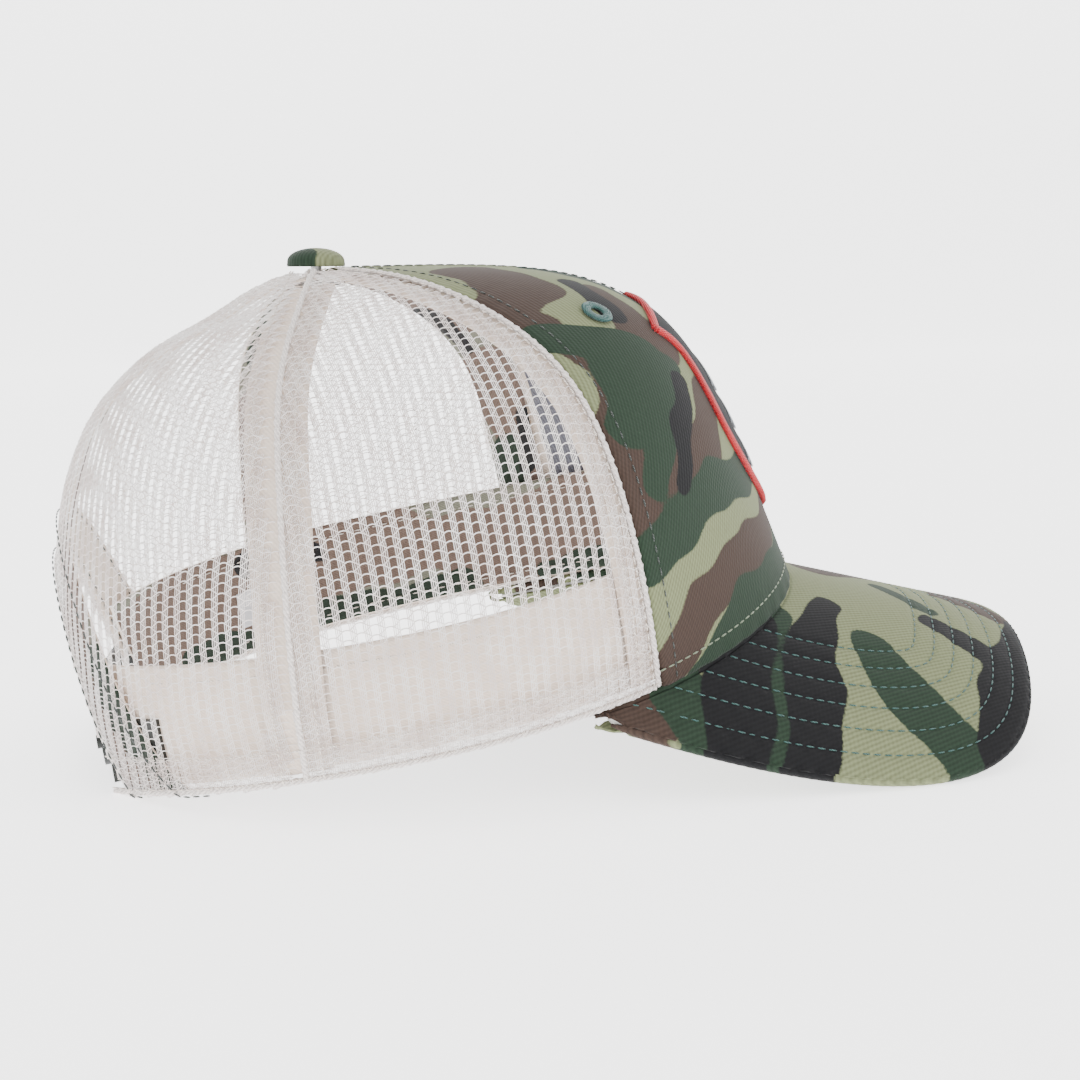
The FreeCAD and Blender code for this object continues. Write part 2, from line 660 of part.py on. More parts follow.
STRAP_TURN_DEG = 150.0     # where the strap meets the crown, near enough to set its height
RISE_REACH = 0.03          # run either side, for the slope of the crown at the hinge
strap_run = run_above_hem(math.radians(STRAP_TURN_DEG), STRAP_FOOT + strap_w / 2)
hinge_turn = turn_at(hinge_y, strap_run)
hinge = crown(hinge_turn, strap_run, tab_depth + strap_t / 2)
rise = crown(hinge_turn, strap_run - RISE_REACH) - crown(hinge_turn, strap_run + RISE_REACH)
rise = Vector(rise.x, 0, rise.z).normalize()
towards_back = Vector(0, 1, 0).cross(rise)
towards_back = towards_back if towards_back.x < 0 else towards_back.negative()
centre = Vector(hinge.x, 0, hinge.z) - towards_back * math.sqrt(strap_r ** 2 - hinge_y ** 2)
strap_frame = Placement(centre, Rotation(towards_back, rise.cross(towards_back), rise, "ZXY"))
pitch_deg = math.degrees(size("strap_pitch") / strap_r)
hinge_deg = math.degrees(math.asin(hinge_y / strap_r))
HOLES = 7
PAST_MIDDLE = 2.5          # pitches from the middle of the back to the hole nearest the free end
END_LAND = 5.0             # from the last hole to the free end
END_ROUNDING = 7.0         # corners of the free end
PUNCH_REACH = 5.0          # the holes' punch, either side of the strap
free_deg = PAST_MIDDLE * pitch_deg + math.degrees(END_LAND / strap_r)


def sector(radius, thick, start_deg, stop_deg, wide):
    """A bent strip about the strap's centre, from one angle to another, 0 at the middle. Its end
    nearer the middle is its free end."""
    def spot(reach, angle_deg):
        angle = math.radians(angle_deg)
        return Vector(reach * math.cos(angle), reach * math.sin(angle), -wide / 2)
    mid_deg = (start_deg + stop_deg) / 2
    far, near = radius + thick / 2, radius - thick / 2
    outer_arc = Part.Arc(spot(far, start_deg), spot(far, mid_deg), spot(far, stop_deg)).toShape()
    inner_arc = Part.Arc(spot(near, stop_deg), spot(near, mid_deg), spot(near, start_deg)).toShape()
    ends = [Part.makeLine(spot(far, stop_deg), spot(near, stop_deg)),
            Part.makeLine(spot(near, start_deg), spot(far, start_deg))]
    strip = Part.Face(Part.Wire([outer_arc, ends[0], inner_arc, ends[1]])).extrude(Vector(0, 0, wide))
    return rounded_end(strip, start_deg if abs(start_deg) < abs(stop_deg) else stop_deg)


def rounded_end(strip, end_deg):
    """Rounds the two corners at one end of a strip."""
    aside = Vector(-math.sin(math.radians(end_deg)), math.cos(math.radians(end_deg)), 0)
    corners = [edge for edge in strip.Edges if abs(edge.CenterOfMass.dot(aside)) < 1e-3
               and abs(edge.CenterOfMass.z) > strap_t and edge.Length < 2 * strap_t]
    return strip.makeFillet(END_ROUNDING, corners)


def radial_pin(radius_mm, low, high, angle_deg):
    along = Vector(math.cos(math.radians(angle_deg)), math.sin(math.radians(angle_deg)), 0)
    return Part.makeCylinder(radius_mm, high - low, along * low, along)


layer = strap_t + size("strap_gap")
hole_radius = size("stud_diameter") / 2 + size("stud_clearance")
left_sign = 1 if strap_frame.multVec(Vector(0, 1, 0)).y > strap_frame.Base.y else -1
hole_half = sector(strap_r + layer / 2, strap_t, *sorted((left_sign * hinge_deg, -left_sign * free_deg)),
                   strap_w)
stud_half = sector(strap_r - layer / 2, strap_t, *sorted((-left_sign * hinge_deg, left_sign * free_deg)),
                   strap_w)
for k in range(HOLES):
    hole_at = left_sign * (k - PAST_MIDDLE) * pitch_deg
    punch = radial_pin(hole_radius, strap_r - PUNCH_REACH, strap_r + PUNCH_REACH, hole_at)
    hole_half = hole_half.cut(punch)
    stud_at = -hole_at
    stud = radial_pin(size("stud_diameter") / 2, strap_r - layer / 2,
                      strap_r - layer / 2 + strap_t / 2 + size("stud_height"), stud_at)
    stud_half = stud_half.fuse(stud)
stud_half = stud_half.removeSplitter()
add_feature("strap_with_holes", hole_half, strap_frame)
add_feature("strap_with_studs", stud_half, strap_frame)


# the sewn end of each half, between the net and the sweatband
def tab_place(u, v):
    start = hinge_turn - size("tab_gap") / girth(hinge_turn, strap_run)
    turn = start - u * size("tab_length") / girth(start, strap_run)
    low = run_above_hem(turn, STRAP_FOOT)
    high = run_above_hem(turn, STRAP_FOOT + strap_w)
    return turn, high + (low - high) * v


tab = crown_ply(tab_place, tab_depth, strap_t, 6, 6)
add_feature("strap_tab_left", tab)
add_feature("strap_tab_right", mirrored(tab))


# ---- blank woven label on the inside of the sweatband, on the left
LABEL_TURN_DEG = 115.0
LABEL_RISE = 9.0   # lower edge of the label above the hem
LABEL_RUN = 0.9    # where the label's length is measured


def label_place(u, v):
    middle = math.radians(LABEL_TURN_DEG)
    turn = middle + (u - 0.5) * size("label_length") / girth(middle, LABEL_RUN)
    low = run_above_hem(turn, LABEL_RISE)
    high = run_above_hem(turn, LABEL_RISE + size("label_height"))
    return turn, high + (low - high) * v


label_depth = band_depth + size("band_thick") + size("ply_gap")
add_feature("woven_label", crown_ply(label_place, label_depth, size("label_thick"), 6, 4))

# ---- the origin goes under the middle of the cap, on the surface that it stands on
doc.recompute()
for thing in doc.Objects:
    if "Invalid" in thing.State or "Error" in thing.State:
        raise RuntimeError("%s failed: %s" % (thing.Name, thing.State))
whole = Part.makeCompound([node.Shape for node in nodes.values()])
box = whole.optimalBoundingBox(False)
shift = Vector(-(box.XMin + box.XMax) / 2, 0, -box.ZMin)
for node in nodes.values():
    node.Placement = Placement(shift, Rotation()).multiply(node.Placement)
doc.recompute()
os.makedirs("parts", exist_ok=True)
for label, node in nodes.items():
    shape = node.Shape
    if shape.isNull() or not shape.isValid() or not shape.Solids or shape.Volume <= 0:
        raise RuntimeError("%s has no valid solid" % label)
    shape.exportStep("parts/%s.step" % label)
print("%d nodes, box %.1f x %.1f x %.1f mm" % (len(nodes), box.XLength, box.YLength, box.ZLength))
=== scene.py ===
import math

import bpy
import numpy as np
from mathutils import Matrix, Vector


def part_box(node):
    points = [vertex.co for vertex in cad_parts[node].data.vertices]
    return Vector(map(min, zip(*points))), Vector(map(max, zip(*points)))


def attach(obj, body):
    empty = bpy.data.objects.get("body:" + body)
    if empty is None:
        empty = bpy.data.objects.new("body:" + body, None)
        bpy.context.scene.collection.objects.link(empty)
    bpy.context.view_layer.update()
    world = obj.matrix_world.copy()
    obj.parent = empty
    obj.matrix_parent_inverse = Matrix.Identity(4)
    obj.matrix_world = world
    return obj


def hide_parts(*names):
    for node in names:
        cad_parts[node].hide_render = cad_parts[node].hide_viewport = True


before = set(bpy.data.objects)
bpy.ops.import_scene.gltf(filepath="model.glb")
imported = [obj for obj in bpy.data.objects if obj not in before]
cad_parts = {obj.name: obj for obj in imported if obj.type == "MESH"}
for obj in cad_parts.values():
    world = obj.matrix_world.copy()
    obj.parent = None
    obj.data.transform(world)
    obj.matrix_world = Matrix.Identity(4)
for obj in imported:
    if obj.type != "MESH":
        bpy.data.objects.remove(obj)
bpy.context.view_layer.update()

# ---- Studio
# A pale floor that runs up behind the cap, one broad soft light overhead, and two weak ones that
# open up the shadows. The camera stands by the wearer's right temple, a little behind it.
BUTTON_SEAT = 0.0005
button_low, button_high = (np.array(corner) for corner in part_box("button_cover"))
apex = np.array([(button_low[0] + button_high[0]) / 2, 0.0, button_low[2] - BUTTON_SEAT])

turn_right, look_down, roll = (math.radians(a) for a in (-11.7, 11.0, -0.45))
ahead = Vector((-math.sin(turn_right) * math.cos(look_down), math.cos(turn_right) * math.cos(look_down),
                -math.sin(look_down)))
aside = Vector((math.cos(turn_right), math.sin(turn_right), 0))
above = aside.cross(ahead)
cam_x = aside * math.cos(roll) + above * math.sin(roll)
cam_y = above * math.cos(roll) - aside * math.sin(roll)
target = Vector(apex) + Vector((0.0587, 0, -0.0803))
CAMERA_DISTANCE = 0.4231
camera = bpy.data.objects.new("camera", bpy.data.cameras.new("camera"))
bpy.context.scene.collection.objects.link(camera)
camera.matrix_world = (Matrix.Translation(target - ahead * CAMERA_DISTANCE)
                       @ Matrix((cam_x, cam_y, -ahead)).transposed().to_4x4())
camera.data.sensor_width = 36.0
camera.data.lens = 48.35
camera.data.shift_x = 0.0103
camera.data.shift_y = 0.0065
camera.data.clip_start = 0.01
bpy.context.scene.camera = camera

FLOOR_REACH, FLOOR_BEND = 2.4, 0.8
profile = [(-FLOOR_REACH, 0.0)] + [(FLOOR_REACH - FLOOR_BEND + FLOOR_BEND * math.sin(a),
                                    FLOOR_BEND * (1 - math.cos(a)))
                                   for a in np.linspace(0, math.pi / 2, 17)] + [(FLOOR_REACH, 2.5)]
floor_mesh = bpy.data.meshes.new("floor")
verts = [(x, y, z) for y, z in profile for x in (-FLOOR_REACH * 2, FLOOR_REACH * 2)]
floor_mesh.from_pydata(verts, [], [(2 * i, 2 * i + 1, 2 * i + 3, 2 * i + 2) for i in range(len(profile) - 1)])
floor_mesh.shade_smooth()
floor = bpy.data.objects.new("floor", floor_mesh)
bpy.context.scene.collection.objects.link(floor)


def new_material(name, base=(0.8, 0.8, 0.8), roughness=0.8, **sockets):
    """A material with one Principled shader; returns it with its node tree and shader."""
    material = bpy.data.materials.new(name)
    material.use_nodes = True
    shader = material.node_tree.nodes["Principled BSDF"]
    shader.inputs["Base Color"].default_value = (*base, 1)
    shader.inputs["Roughness"].default_value = roughness
    for socket, value in sockets.items():
        shader.inputs[socket.replace("_", " ")].default_value = value
    return material, material.node_tree, shader


floor_paper, _, _ = new_material("floor paper", (0.97, 0.97, 0.97), 0.9, Emission_Color=(1, 1, 1, 1),
                                 Emission_Strength=1.9)
floor_mesh.materials.append(floor_paper)
world = bpy.data.worlds.new("studio")
bpy.context.scene.world = world
world.use_nodes = True
world.node_tree.nodes["Background"].inputs["Color"].default_value = (1, 1, 1, 1)
world.node_tree.nodes["Background"].inputs["Strength"].default_value = 1.35
for name, place, size, power in (("overhead", (0.1, -0.3, 1.5), 1.3, 11.0),
                                 ("from the front", (1.2, -1.0, 0.7), 0.8, 5.0),
                                 ("from behind", (-1.2, -0.9, 0.6), 0.8, 3.0)):
    light = bpy.data.lights.new(name, "AREA")
    light.size = size
    light.energy = power
    lamp = bpy.data.objects.new(name, light)
    bpy.context.scene.collection.objects.link(lamp)
    lamp.location = place
    lamp.rotation_euler = (target - Vector(place)).to_track_quat("-Z", "Y").to_euler()

# ---- Front panels
# Two halves of printed cotton twill, sewn down the middle of the brow. The camouflage is printed on
# the roll in four colours; each panel is cut from a different place on it.
FRONT_REACH, FRONT_DROP = 135.5, 88.0
REAR_REACH, REAR_DROP = 71.5, 136.5
SIDE_REACH, SIDE_DROP = 75.0, 115.0
FRONT_LINE = [(0, 0), (0.36, 0), (0.745, -0.062), (0.723, 0.148), (0.863, 0.5), (1, 1)]
REAR_LINE = [(0, 0), (0.413, 0), (0.28, 0.256), (1.245, -0.073), (1, 1)]
SIDE_LINE = [(0, 0), (0.46, 0), (1.107, 0.248), (1.327, 0.657), (1, 1)]
HEM_DIP = -5.0
LINE_STEPS = 400
MM = 0.001


def bezier(controls, t):
    points = [np.array(p, float)[None, :] + 0 * t[:, None] for p in controls]
    while len(points) > 1:
        points = [a * (1 - t[:, None]) + b * t[:, None] for a, b in zip(points, points[1:])]
    return points[0]


def even_line(line, reach, drop):
    """Outline of the crown from the button to the hem, at even distances along it."""
    raw = bezier([(out * reach, -down * drop) for out, down in line], np.linspace(0, 1, LINE_STEPS + 1))
    runs = np.concatenate([[0], np.cumsum(np.linalg.norm(np.diff(raw, axis=0), axis=1))])
    want = np.linspace(0, runs[-1], LINE_STEPS + 1)
    return np.stack([np.interp(want, runs, raw[:, k]) for k in (0, 1)], -1), runs[-1]


front_line, front_length = even_line(FRONT_LINE, FRONT_REACH, FRONT_DROP)
rear_line, rear_length = even_line(REAR_LINE, REAR_REACH, REAR_DROP)
side_line, _ = even_line(SIDE_LINE, SIDE_REACH, SIDE_DROP)


def on_line(line, run):
    at = np.clip(run, 0, 1) * LINE_STEPS
    return (np.interp(at, np.arange(LINE_STEPS + 1), line[:, k]) for k in (0, 1))


def crown_skin(turn, run):
    """Outer face of the crown, mm from the button: turn 0 at the brow, positive to the left."""
    (xf, zf), (xr, zr), (ys, zs) = (on_line(line, run) for line in (front_line, rear_line, side_line))
    c = np.cos(turn)
    x = (xf - xr) / 2 + (xf + xr) / 2 * c
    z = zs + (zf - zr) / 2 * c + ((zf + zr) / 2 - zs) * c ** 2 + HEM_DIP * run ** 3 * (c - c ** 3)
    return np.stack([x, ys * np.sin(turn), z], -1)


def unit(v):
    return v / np.maximum(np.linalg.norm(v, axis=-1, keepdims=True), 1e-12)


def crown_out(turn, run):
    e = 1e-3
    run = np.clip(run, 0.02, 1 - e)
    return unit(np.cross(crown_skin(turn, run + e) - crown_skin(turn, run - e),
                         crown_skin(turn + e, run) - crown_skin(turn - e, run)))


def crown(turn, run, depth=0.0):
    """Points under the outer face of the crown, in metres, in the cap's frame."""
    turn, run = np.asarray(turn, float), np.asarray(run, float)
    return apex + MM * (crown_skin(turn, run) - crown_out(turn, run) * np.asarray(depth)[..., None])


def girth(turn, run):
    return np.linalg.norm(crown_skin(turn + 1e-3, run) - crown_skin(turn - 1e-3, run), axis=-1) / 2e-3


def front_seam(run):
    return np.radians(63 - 15 * (1 - run))


def side_seam(run):
    return np.radians(115 - 10 * (1 - run))


def mesh_object(name, points, faces, uvs=None, attributes=None, material_index=None, materials=()):
    mesh = bpy.data.meshes.new(name)
    mesh.from_pydata([tuple(p) for p in points], [], [tuple(f) for f in faces])
    for material in materials:
        mesh.materials.append(material)
    if material_index is not None:
        mesh.polygons.foreach_set("material_index", np.asarray(material_index, dtype=np.int32))
    if uvs is not None:
        layer = mesh.uv_layers.new(name="cloth")
        corners = np.empty(len(mesh.loops), dtype=np.int32)
        mesh.loops.foreach_get("vertex_index", corners)
        layer.data.foreach_set("uv", np.asarray(uvs)[corners].astype(np.float32).ravel())
    for key, values in (attributes or {}).items():
        attribute = mesh.attributes.new(key, "FLOAT", "POINT")
        attribute.data.foreach_set("value", np.asarray(values, dtype=np.float32))
    mesh.shade_smooth()
    thing = bpy.data.objects.new(name, mesh)
    bpy.context.scene.collection.objects.link(thing)
    return thing


def cloth(name, outer, thick, uv, attributes=None, materials=(), turned=1):
    """A ply of cloth under a grid of points: the right side, the wrong side and the cut edges.
    The second material, if there is one, is on the wrong side."""
    rows, columns = outer.shape[:2]
    square = unit(np.cross(np.gradient(outer, axis=0), np.gradient(outer, axis=1))) * turned
    inner = outer - square * thick
    points = np.concatenate([outer.reshape(-1, 3), inner.reshape(-1, 3)])
    index = np.arange(rows * columns).reshape(rows, columns)
    quad = np.stack([index[:-1, :-1], index[1:, :-1], index[1:, 1:], index[:-1, 1:]], -1).reshape(-1, 4)
    rim = np.concatenate([index[0, :-1], index[:-1, -1], index[-1, :0:-1], index[:0:-1, 0]])
    rim_next = np.roll(rim, -1)
    low = rows * columns
    sides = np.stack([rim, rim_next, rim_next + low, rim + low], -1)
    if turned < 0:
        quad, sides = quad[:, ::-1], sides[:, ::-1]
    faces = np.concatenate([quad, quad[:, ::-1] + low, sides])
    index_of = np.concatenate([np.zeros(len(quad)), np.ones(len(quad)), np.zeros(len(sides))])
    doubled = {key: np.tile(np.asarray(v).ravel(), 2) for key, v in (attributes or {}).items()}
    return mesh_object(name, points, faces, np.tile(uv.reshape(-1, 2), (2, 1)), doubled,
                       index_of if len(materials) > 1 else None, materials)


def stroke_distance(x, y, strokes, soft=1.6):
    """Distance in mm to the edge of a group of brush strokes, negative inside. A stroke is a chain
    of (x, y, half width); strokes that come close run together."""
    total = np.zeros_like(x)
    for stroke in strokes:
        for (ax, ay, ar), (bx, by, br) in zip(stroke, stroke[1:]):
            span = max((bx - ax) ** 2 + (by - ay) ** 2, 1e-6)
            t = np.clip(((x - ax) * (bx - ax) + (y - ay) * (by - ay)) / span, 0, 1)
            d = np.hypot(x - ax - t * (bx - ax), y - ay - t * (by - ay)) - (ar + t * (br - ar))
            total += np.exp(-np.clip(d, -60, 60) / soft)
    return -soft * np.log(np.maximum(total, 1e-30))


def print_attributes(x, y, brown, green, black):
    """How far each point of the cloth is inside the three darker colours of the print."""
    wobble_x = x + 1.6 * np.sin(y / 8.3 + 1.0) + 0.5 * np.sin(y / 3.1 + x / 6.0)
    wobble_y = y + 1.4 * np.sin(x / 7.7) + 0.5 * np.sin(x / 2.9 + y / 7.0 + 2.0)
    return {key: stroke_distance(wobble_x, wobble_y, strokes)
            for key, strokes in (("brown", brown), ("green", green), ("black", black))}


FRONT_BROWN = [[(16, 43, 8), (34, 60, 9), (53, 66, 6)], [(22, 78, 5), (40, 94, 7)],
               [(55, 74, 6), (62, 92, 5)], [(64, 99, 4), (76, 107, 4), (86, 110, 3)],
               [(26, 98, 5), (50, 101, 5), (70, 106, 5), (92, 121, 6)], [(36, 116, 6), (54, 131, 7)],
               [(60, 126, 7), (80, 128, 9), (101, 136, 9)],
               [(12, 157, 5), (50, 158, 6), (80, 162, 7), (96, 179, 8)]]
FRONT_GREEN = [[(58, 84, 8), (50, 93, 8), (60, 100, 7), (77, 111, 6)],
               [(44, 104, 4), (60, 114, 5), (77, 125, 5)],
               [(12, 143, 6), (54, 138, 6), (77, 139, 6), (98, 144, 6)],
               [(12, 171, 9), (40, 173, 9), (62, 173, 8), (80, 180, 5)], [(2, 60, 6), (6, 90, 8)]]
FRONT_BLACK = [[(21, 70, 3.5), (36, 84, 4)], [(45, 109, 3), (58, 120, 3.5), (68, 132, 3)],
               [(2, 118, 5), (10, 128, 4)]]


def add_node(tree, kind, outlet=0, settings=(), **inputs):
    """Adds a node, sets it up, and gives each input a value or a link. Returns one of its outlets."""
    added = tree.nodes.new(kind)
    for key, value in dict(settings).items():
        setattr(added, key, value)
    for key, value in inputs.items():
        feed(tree, added.inputs[key.replace("_", " ")], value)
    return added.outputs[outlet]


def feed(tree, socket, value):
    """Gives an input a link, a number or a colour."""
    if isinstance(value, bpy.types.NodeSocket):
        tree.links.new(value, socket)
    elif socket.type == "RGBA":
        socket.default_value = (*value, 1)
    else:
        socket.default_value = value


def math_node(tree, operation, *terms):
    added = tree.nodes.new("ShaderNodeMath")
    added.operation = operation
    for socket, term in zip(added.inputs, terms):
        feed(tree, socket, term)
    return added.outputs["Value"]


def weave_group():
    """Twill ribs: a height for the bump, and a painted shading: the ribs lightened, the grooves darkened."""
    group = bpy.data.node_groups.new("twill weave", "ShaderNodeTree")
    for name, kind in (("Cloth", "Vector"), ("Ribs per metre", "Float"), ("Lean", "Float"),
                       ("Contrast", "Float")):
        group.interface.new_socket(name=name, in_out="INPUT", socket_type="NodeSocket" + kind)
    for name in ("Height", "Tone"):
        group.interface.new_socket(name=name, in_out="OUTPUT", socket_type="NodeSocketFloat")
    source, sink = group.nodes.new("NodeGroupInput").outputs, group.nodes.new("NodeGroupOutput").inputs
    spun = add_node(group, "ShaderNodeVectorRotate", settings={"rotation_type": "Z_AXIS"},
                    Vector=source["Cloth"], Angle=source["Lean"])
    scaled = add_node(group, "ShaderNodeVectorMath", settings={"operation": "SCALE"},
                      Vector=spun, Scale=source["Ribs per metre"])
    parts = add_node(group, "ShaderNodeSeparateXYZ", Vector=scaled).node.outputs
    noise = add_node(group, "ShaderNodeTexNoise", "Fac", Vector=scaled, Scale=0.6, Detail=3)

    def calc(operation, *terms):
        return math_node(group, operation, *terms)

    jitter = calc("MULTIPLY", noise, 2.2)
    ribs = calc("SINE", calc("ADD", calc("MULTIPLY", parts["X"], 2 * math.pi), jitter))
    floats = calc("SINE", calc("MULTIPLY", calc("ADD", parts["Y"], calc("MULTIPLY", parts["X"], 0.5)), 4.4))
    height = calc("ADD", calc("MULTIPLY", ribs, 0.38), calc("MULTIPLY", floats, 0.14))
    height = calc("ADD", calc("ADD", height, 0.5), calc("MULTIPLY", calc("SUBTRACT", noise, 0.5), 0.5))
    group.links.new(height, sink["Height"])
    # Painted light and shade: the tone follows the weave's height, lighter where the ribs stand and darker in
    # the grooves between them, as strongly as Contrast says.
    tone = calc("ADD", calc("MULTIPLY", calc("SUBTRACT", height, 0.5), source["Contrast"]), 1.0)
    group.links.new(tone, sink["Tone"])
    return group


weave = weave_group()
PALE, BROWN = (0.17, 0.19, 0.10), (0.046, 0.029, 0.022)
GREEN, BLACK = (0.016, 0.031, 0.018), (0.006, 0.006, 0.007)
CREAM = (0.84, 0.72, 0.62)


def cloth_map(tree):
    return add_node(tree, "ShaderNodeUVMap", settings={"uv_map": "cloth"})


def add_relief(tree, shader, height, depth, strength=1.0):
    bump = add_node(tree, "ShaderNodeBump", Height=height, Distance=depth, Strength=strength)
    tree.links.new(bump, shader.inputs["Normal"])


def add_weave(parts, colour, pitch_mm, lean_deg, rib_shade_depth, bump_mm, strength=0.6):
    """Puts the weave on a material: its colour with painted rib shading, and its bump. Returns the material.
    """
    material, tree, shader = parts
    ribs = add_node(tree, "ShaderNodeGroup", settings={"node_tree": weave}, Cloth=cloth_map(tree),
                    Ribs_per_metre=1000 / pitch_mm, Lean=math.radians(lean_deg), Contrast=rib_shade_depth)
    ribs = ribs.node.outputs
    # Painted light and shade: the colour is lightened on the ribs and darkened between them.
    tone = add_node(tree, "ShaderNodeCombineColor", Red=ribs["Tone"], Green=ribs["Tone"], Blue=ribs["Tone"])
    shaded_colour = add_node(tree, "ShaderNodeMix", "Result", {"data_type": "RGBA", "blend_type": "MULTIPLY"},
                     Factor=1, A=colour, B=tone)
    tree.links.new(shaded_colour, shader.inputs["Base Color"])
    add_relief(tree, shader, ribs["Height"], bump_mm * MM, strength)
    return material


def printed_colour(tree, pale=PALE, brown=BROWN, green=GREEN, black=BLACK):
    """The four printed colours, each laid over the last with an edge that bleeds a little."""
    noise = add_node(tree, "ShaderNodeTexNoise", "Fac", Vector=cloth_map(tree), Scale=1400, Detail=2)
    colour = pale
    for key, ink in (("brown", brown), ("green", green), ("black", black)):
        edge = add_node(tree, "ShaderNodeAttribute", "Fac", {"attribute_name": key})
        cover = add_node(tree, "ShaderNodeMapRange", "Result", From_Min=0.75, From_Max=0.25,
                         Value=math_node(tree, "ADD", edge, noise))
        colour = add_node(tree, "ShaderNodeMix", "Result", {"data_type": "RGBA"}, Factor=cover,
                          A=colour, B=ink)
    return colour


def printed_cloth(name, lean_deg):
    parts = new_material(name, roughness=0.85, Sheen_Weight=0.06, Specular_IOR_Level=0.2)
    return add_weave(parts, printed_colour(parts[1]), 0.95, lean_deg, 0.45, 0.10)


camo = printed_cloth("camouflage twill", 38)
cream_back = add_weave(new_material("unprinted back", roughness=0.9, Sheen_Weight=0.2, Sheen_Roughness=0.5),
                       CREAM, 0.9, -38, 0.16, 0.12)

PANEL_LENGTH, PANEL_THICK = 180.0, 0.7
WRINKLE = 0.25


def grid(first, second):
    """Two ranges, each (start, end, count), spread over a grid."""
    return np.meshgrid(np.linspace(*first), np.linspace(*second), indexing="ij")


def along_edge(distance, reach):
    return np.exp(-np.clip(distance, 0, None) / reach)


for side, name in ((1, "left"), (-1, "right")):
    u, v = grid((0, 1, 90), (0.02, 0.999, 170))
    seam = front_seam(v)
    gap = 0.15 / girth(0 * v, v)
    turn = gap + (seam - gap) * u
    x, y = turn * girth(turn / 2, v), v * PANEL_LENGTH
    from_middle, from_seam, from_hem = x, (seam - turn) * girth(turn, v), (1 - v) * PANEL_LENGTH
    by_seams = along_edge(from_middle, 3.5) + along_edge(from_seam, 4.5)
    pucker = np.sin(y / 1.15 + 1.2 * np.sin(y / 9)) * by_seams + np.sin(x / 1.3) * along_edge(from_hem, 4.0)
    broad = np.sin(x / 15 + y / 31 + side) * np.sin(y / 21 - x / 40) * np.clip(from_seam / 20, 0, 1) * 0.6
    seam_dip = 0.7 * (along_edge(from_middle, 0.9) + along_edge(from_seam, 0.8))
    allowance = 0.35 * np.exp(-((from_middle - 2.4) / 1.2) ** 2)
    lift = WRINKLE * pucker * 0.5 + WRINKLE * broad - seam_dip + allowance
    outer = crown(side * turn, v, -lift)
    place = (x, y) if side < 0 else (108 - x, 0.97 * y + 6)
    inks = print_attributes(*place, FRONT_BROWN, FRONT_GREEN, FRONT_BLACK)
    panel = cloth("front_panel_cloth_" + name, outer, PANEL_THICK * MM, np.stack([x, y], -1) * MM, inks,
                  (camo, cream_back), turned=-side)
    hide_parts("front_panel_" + name)
    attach(panel, "crown")

# ---- Net panels
# Two side panels and two back panels of warp-knitted net: straight filaments laid in between the
# columns of holes, and thin crossing threads that close each hole. The hem is turned up double, the
# cut edges are rolled into the seams, and the back panels stop at the rear opening.
HOLE_ACROSS, HOLE_DOWN = 3.4, 2.4
ARCH_HALF_WIDTH, ARCH_HEIGHT = 41.0, 60.0
HEM_TURN_UP, SEAM_TURN_IN = 12.5, 6.0
NET_DEPTH, NET_LAYER_GAP = 0.35, 0.55


def tube_faces(count, sides, capped=False):
    """Faces of a tube of rings, one after another; its two ends may be closed."""
    faces = []
    for i in range(count - 1):
        low, high = i * sides, (i + 1) * sides
        faces += [(low + k, low + (k + 1) % sides, high + (k + 1) % sides, high + k) for k in range(sides)]
    if capped:
        faces += [tuple(range(sides))[::-1], tuple((count - 1) * sides + k for k in range(sides))]
    return faces


def rings_about(first, second, sides):
    """A unit circle of points at each step of a line, from two directions across it."""
    angles = np.arange(sides) * 2 * np.pi / sides
    return np.cos(angles)[None, :, None] * first[:, None] + np.sin(angles)[None, :, None] * second[:, None]


def thread_path(points, radius, sides=4):
    """A thread as a tube of few sides through some points: its vertices and faces."""
    points = np.array(points, float)
    along = unit(np.gradient(points, axis=0))
    up = np.array([0.0, 0.0, 1.0])
    across = unit(np.cross(along, up))
    over = np.cross(across, along)
    ring = rings_about(across, over, sides)
    return (points[:, None] + radius * ring).reshape(-1, 3), tube_faces(len(points), sides)


def join_threads(paths):
    verts, faces, base = [], [], 0
    for v, f in paths:
        verts.append(v)
        faces += [tuple(i + base for i in face) for face in f]
        base += len(v)
    return np.concatenate(verts), faces


half_down = HOLE_DOWN / 2
net_threads = []
for k, x in enumerate((1.0, 1.45, 1.95, 2.4)):
    filament = [(x, -0.1, 0.02 * k), (x + 0.04, half_down, 0.1), (x, HOLE_DOWN + 0.1, 0.02 * k)]
    net_threads.append(thread_path(filament, 0.1))
net_threads.append(thread_path([(-0.9, half_down, 0), (-0.3, half_down - 0.2, 0.08),
                                (0.35, half_down - 0.18, 0.08), (0.9, half_down, 0)], 0.15))
for step in (-1, 1):
    net_threads.append(thread_path([(0.85, half_down, 0.05), (1.7, half_down + step * 0.72, 0.26),
                                    (2.6, half_down + step * 1.2, 0.05)], 0.13))
cell_verts, cell_faces = join_threads(net_threads)
net_cell = mesh_object("net_cell", cell_verts, cell_faces)


def geometry_tree(name, **inputs):
    """An empty Geometry Nodes tree with named inputs; returns it with its inputs and its one way out."""
    tree = bpy.data.node_groups.new(name, "GeometryNodeTree")
    for label, kind in {"Guide": "Geometry", **inputs}.items():
        tree.interface.new_socket(name=label, in_out="INPUT", socket_type="NodeSocket" + kind)
    tree.interface.new_socket(name="Made", in_out="OUTPUT", socket_type="NodeSocketGeometry")
    return tree, tree.nodes.new("NodeGroupInput").outputs, tree.nodes.new("NodeGroupOutput").inputs["Made"]


def paint_and_end(tree, made, instances, material):
    real = add_node(tree, "GeometryNodeRealizeInstances", Geometry=instances)
    tree.links.new(add_node(tree, "GeometryNodeSetMaterial", Geometry=real, Material=material), made)
    return tree


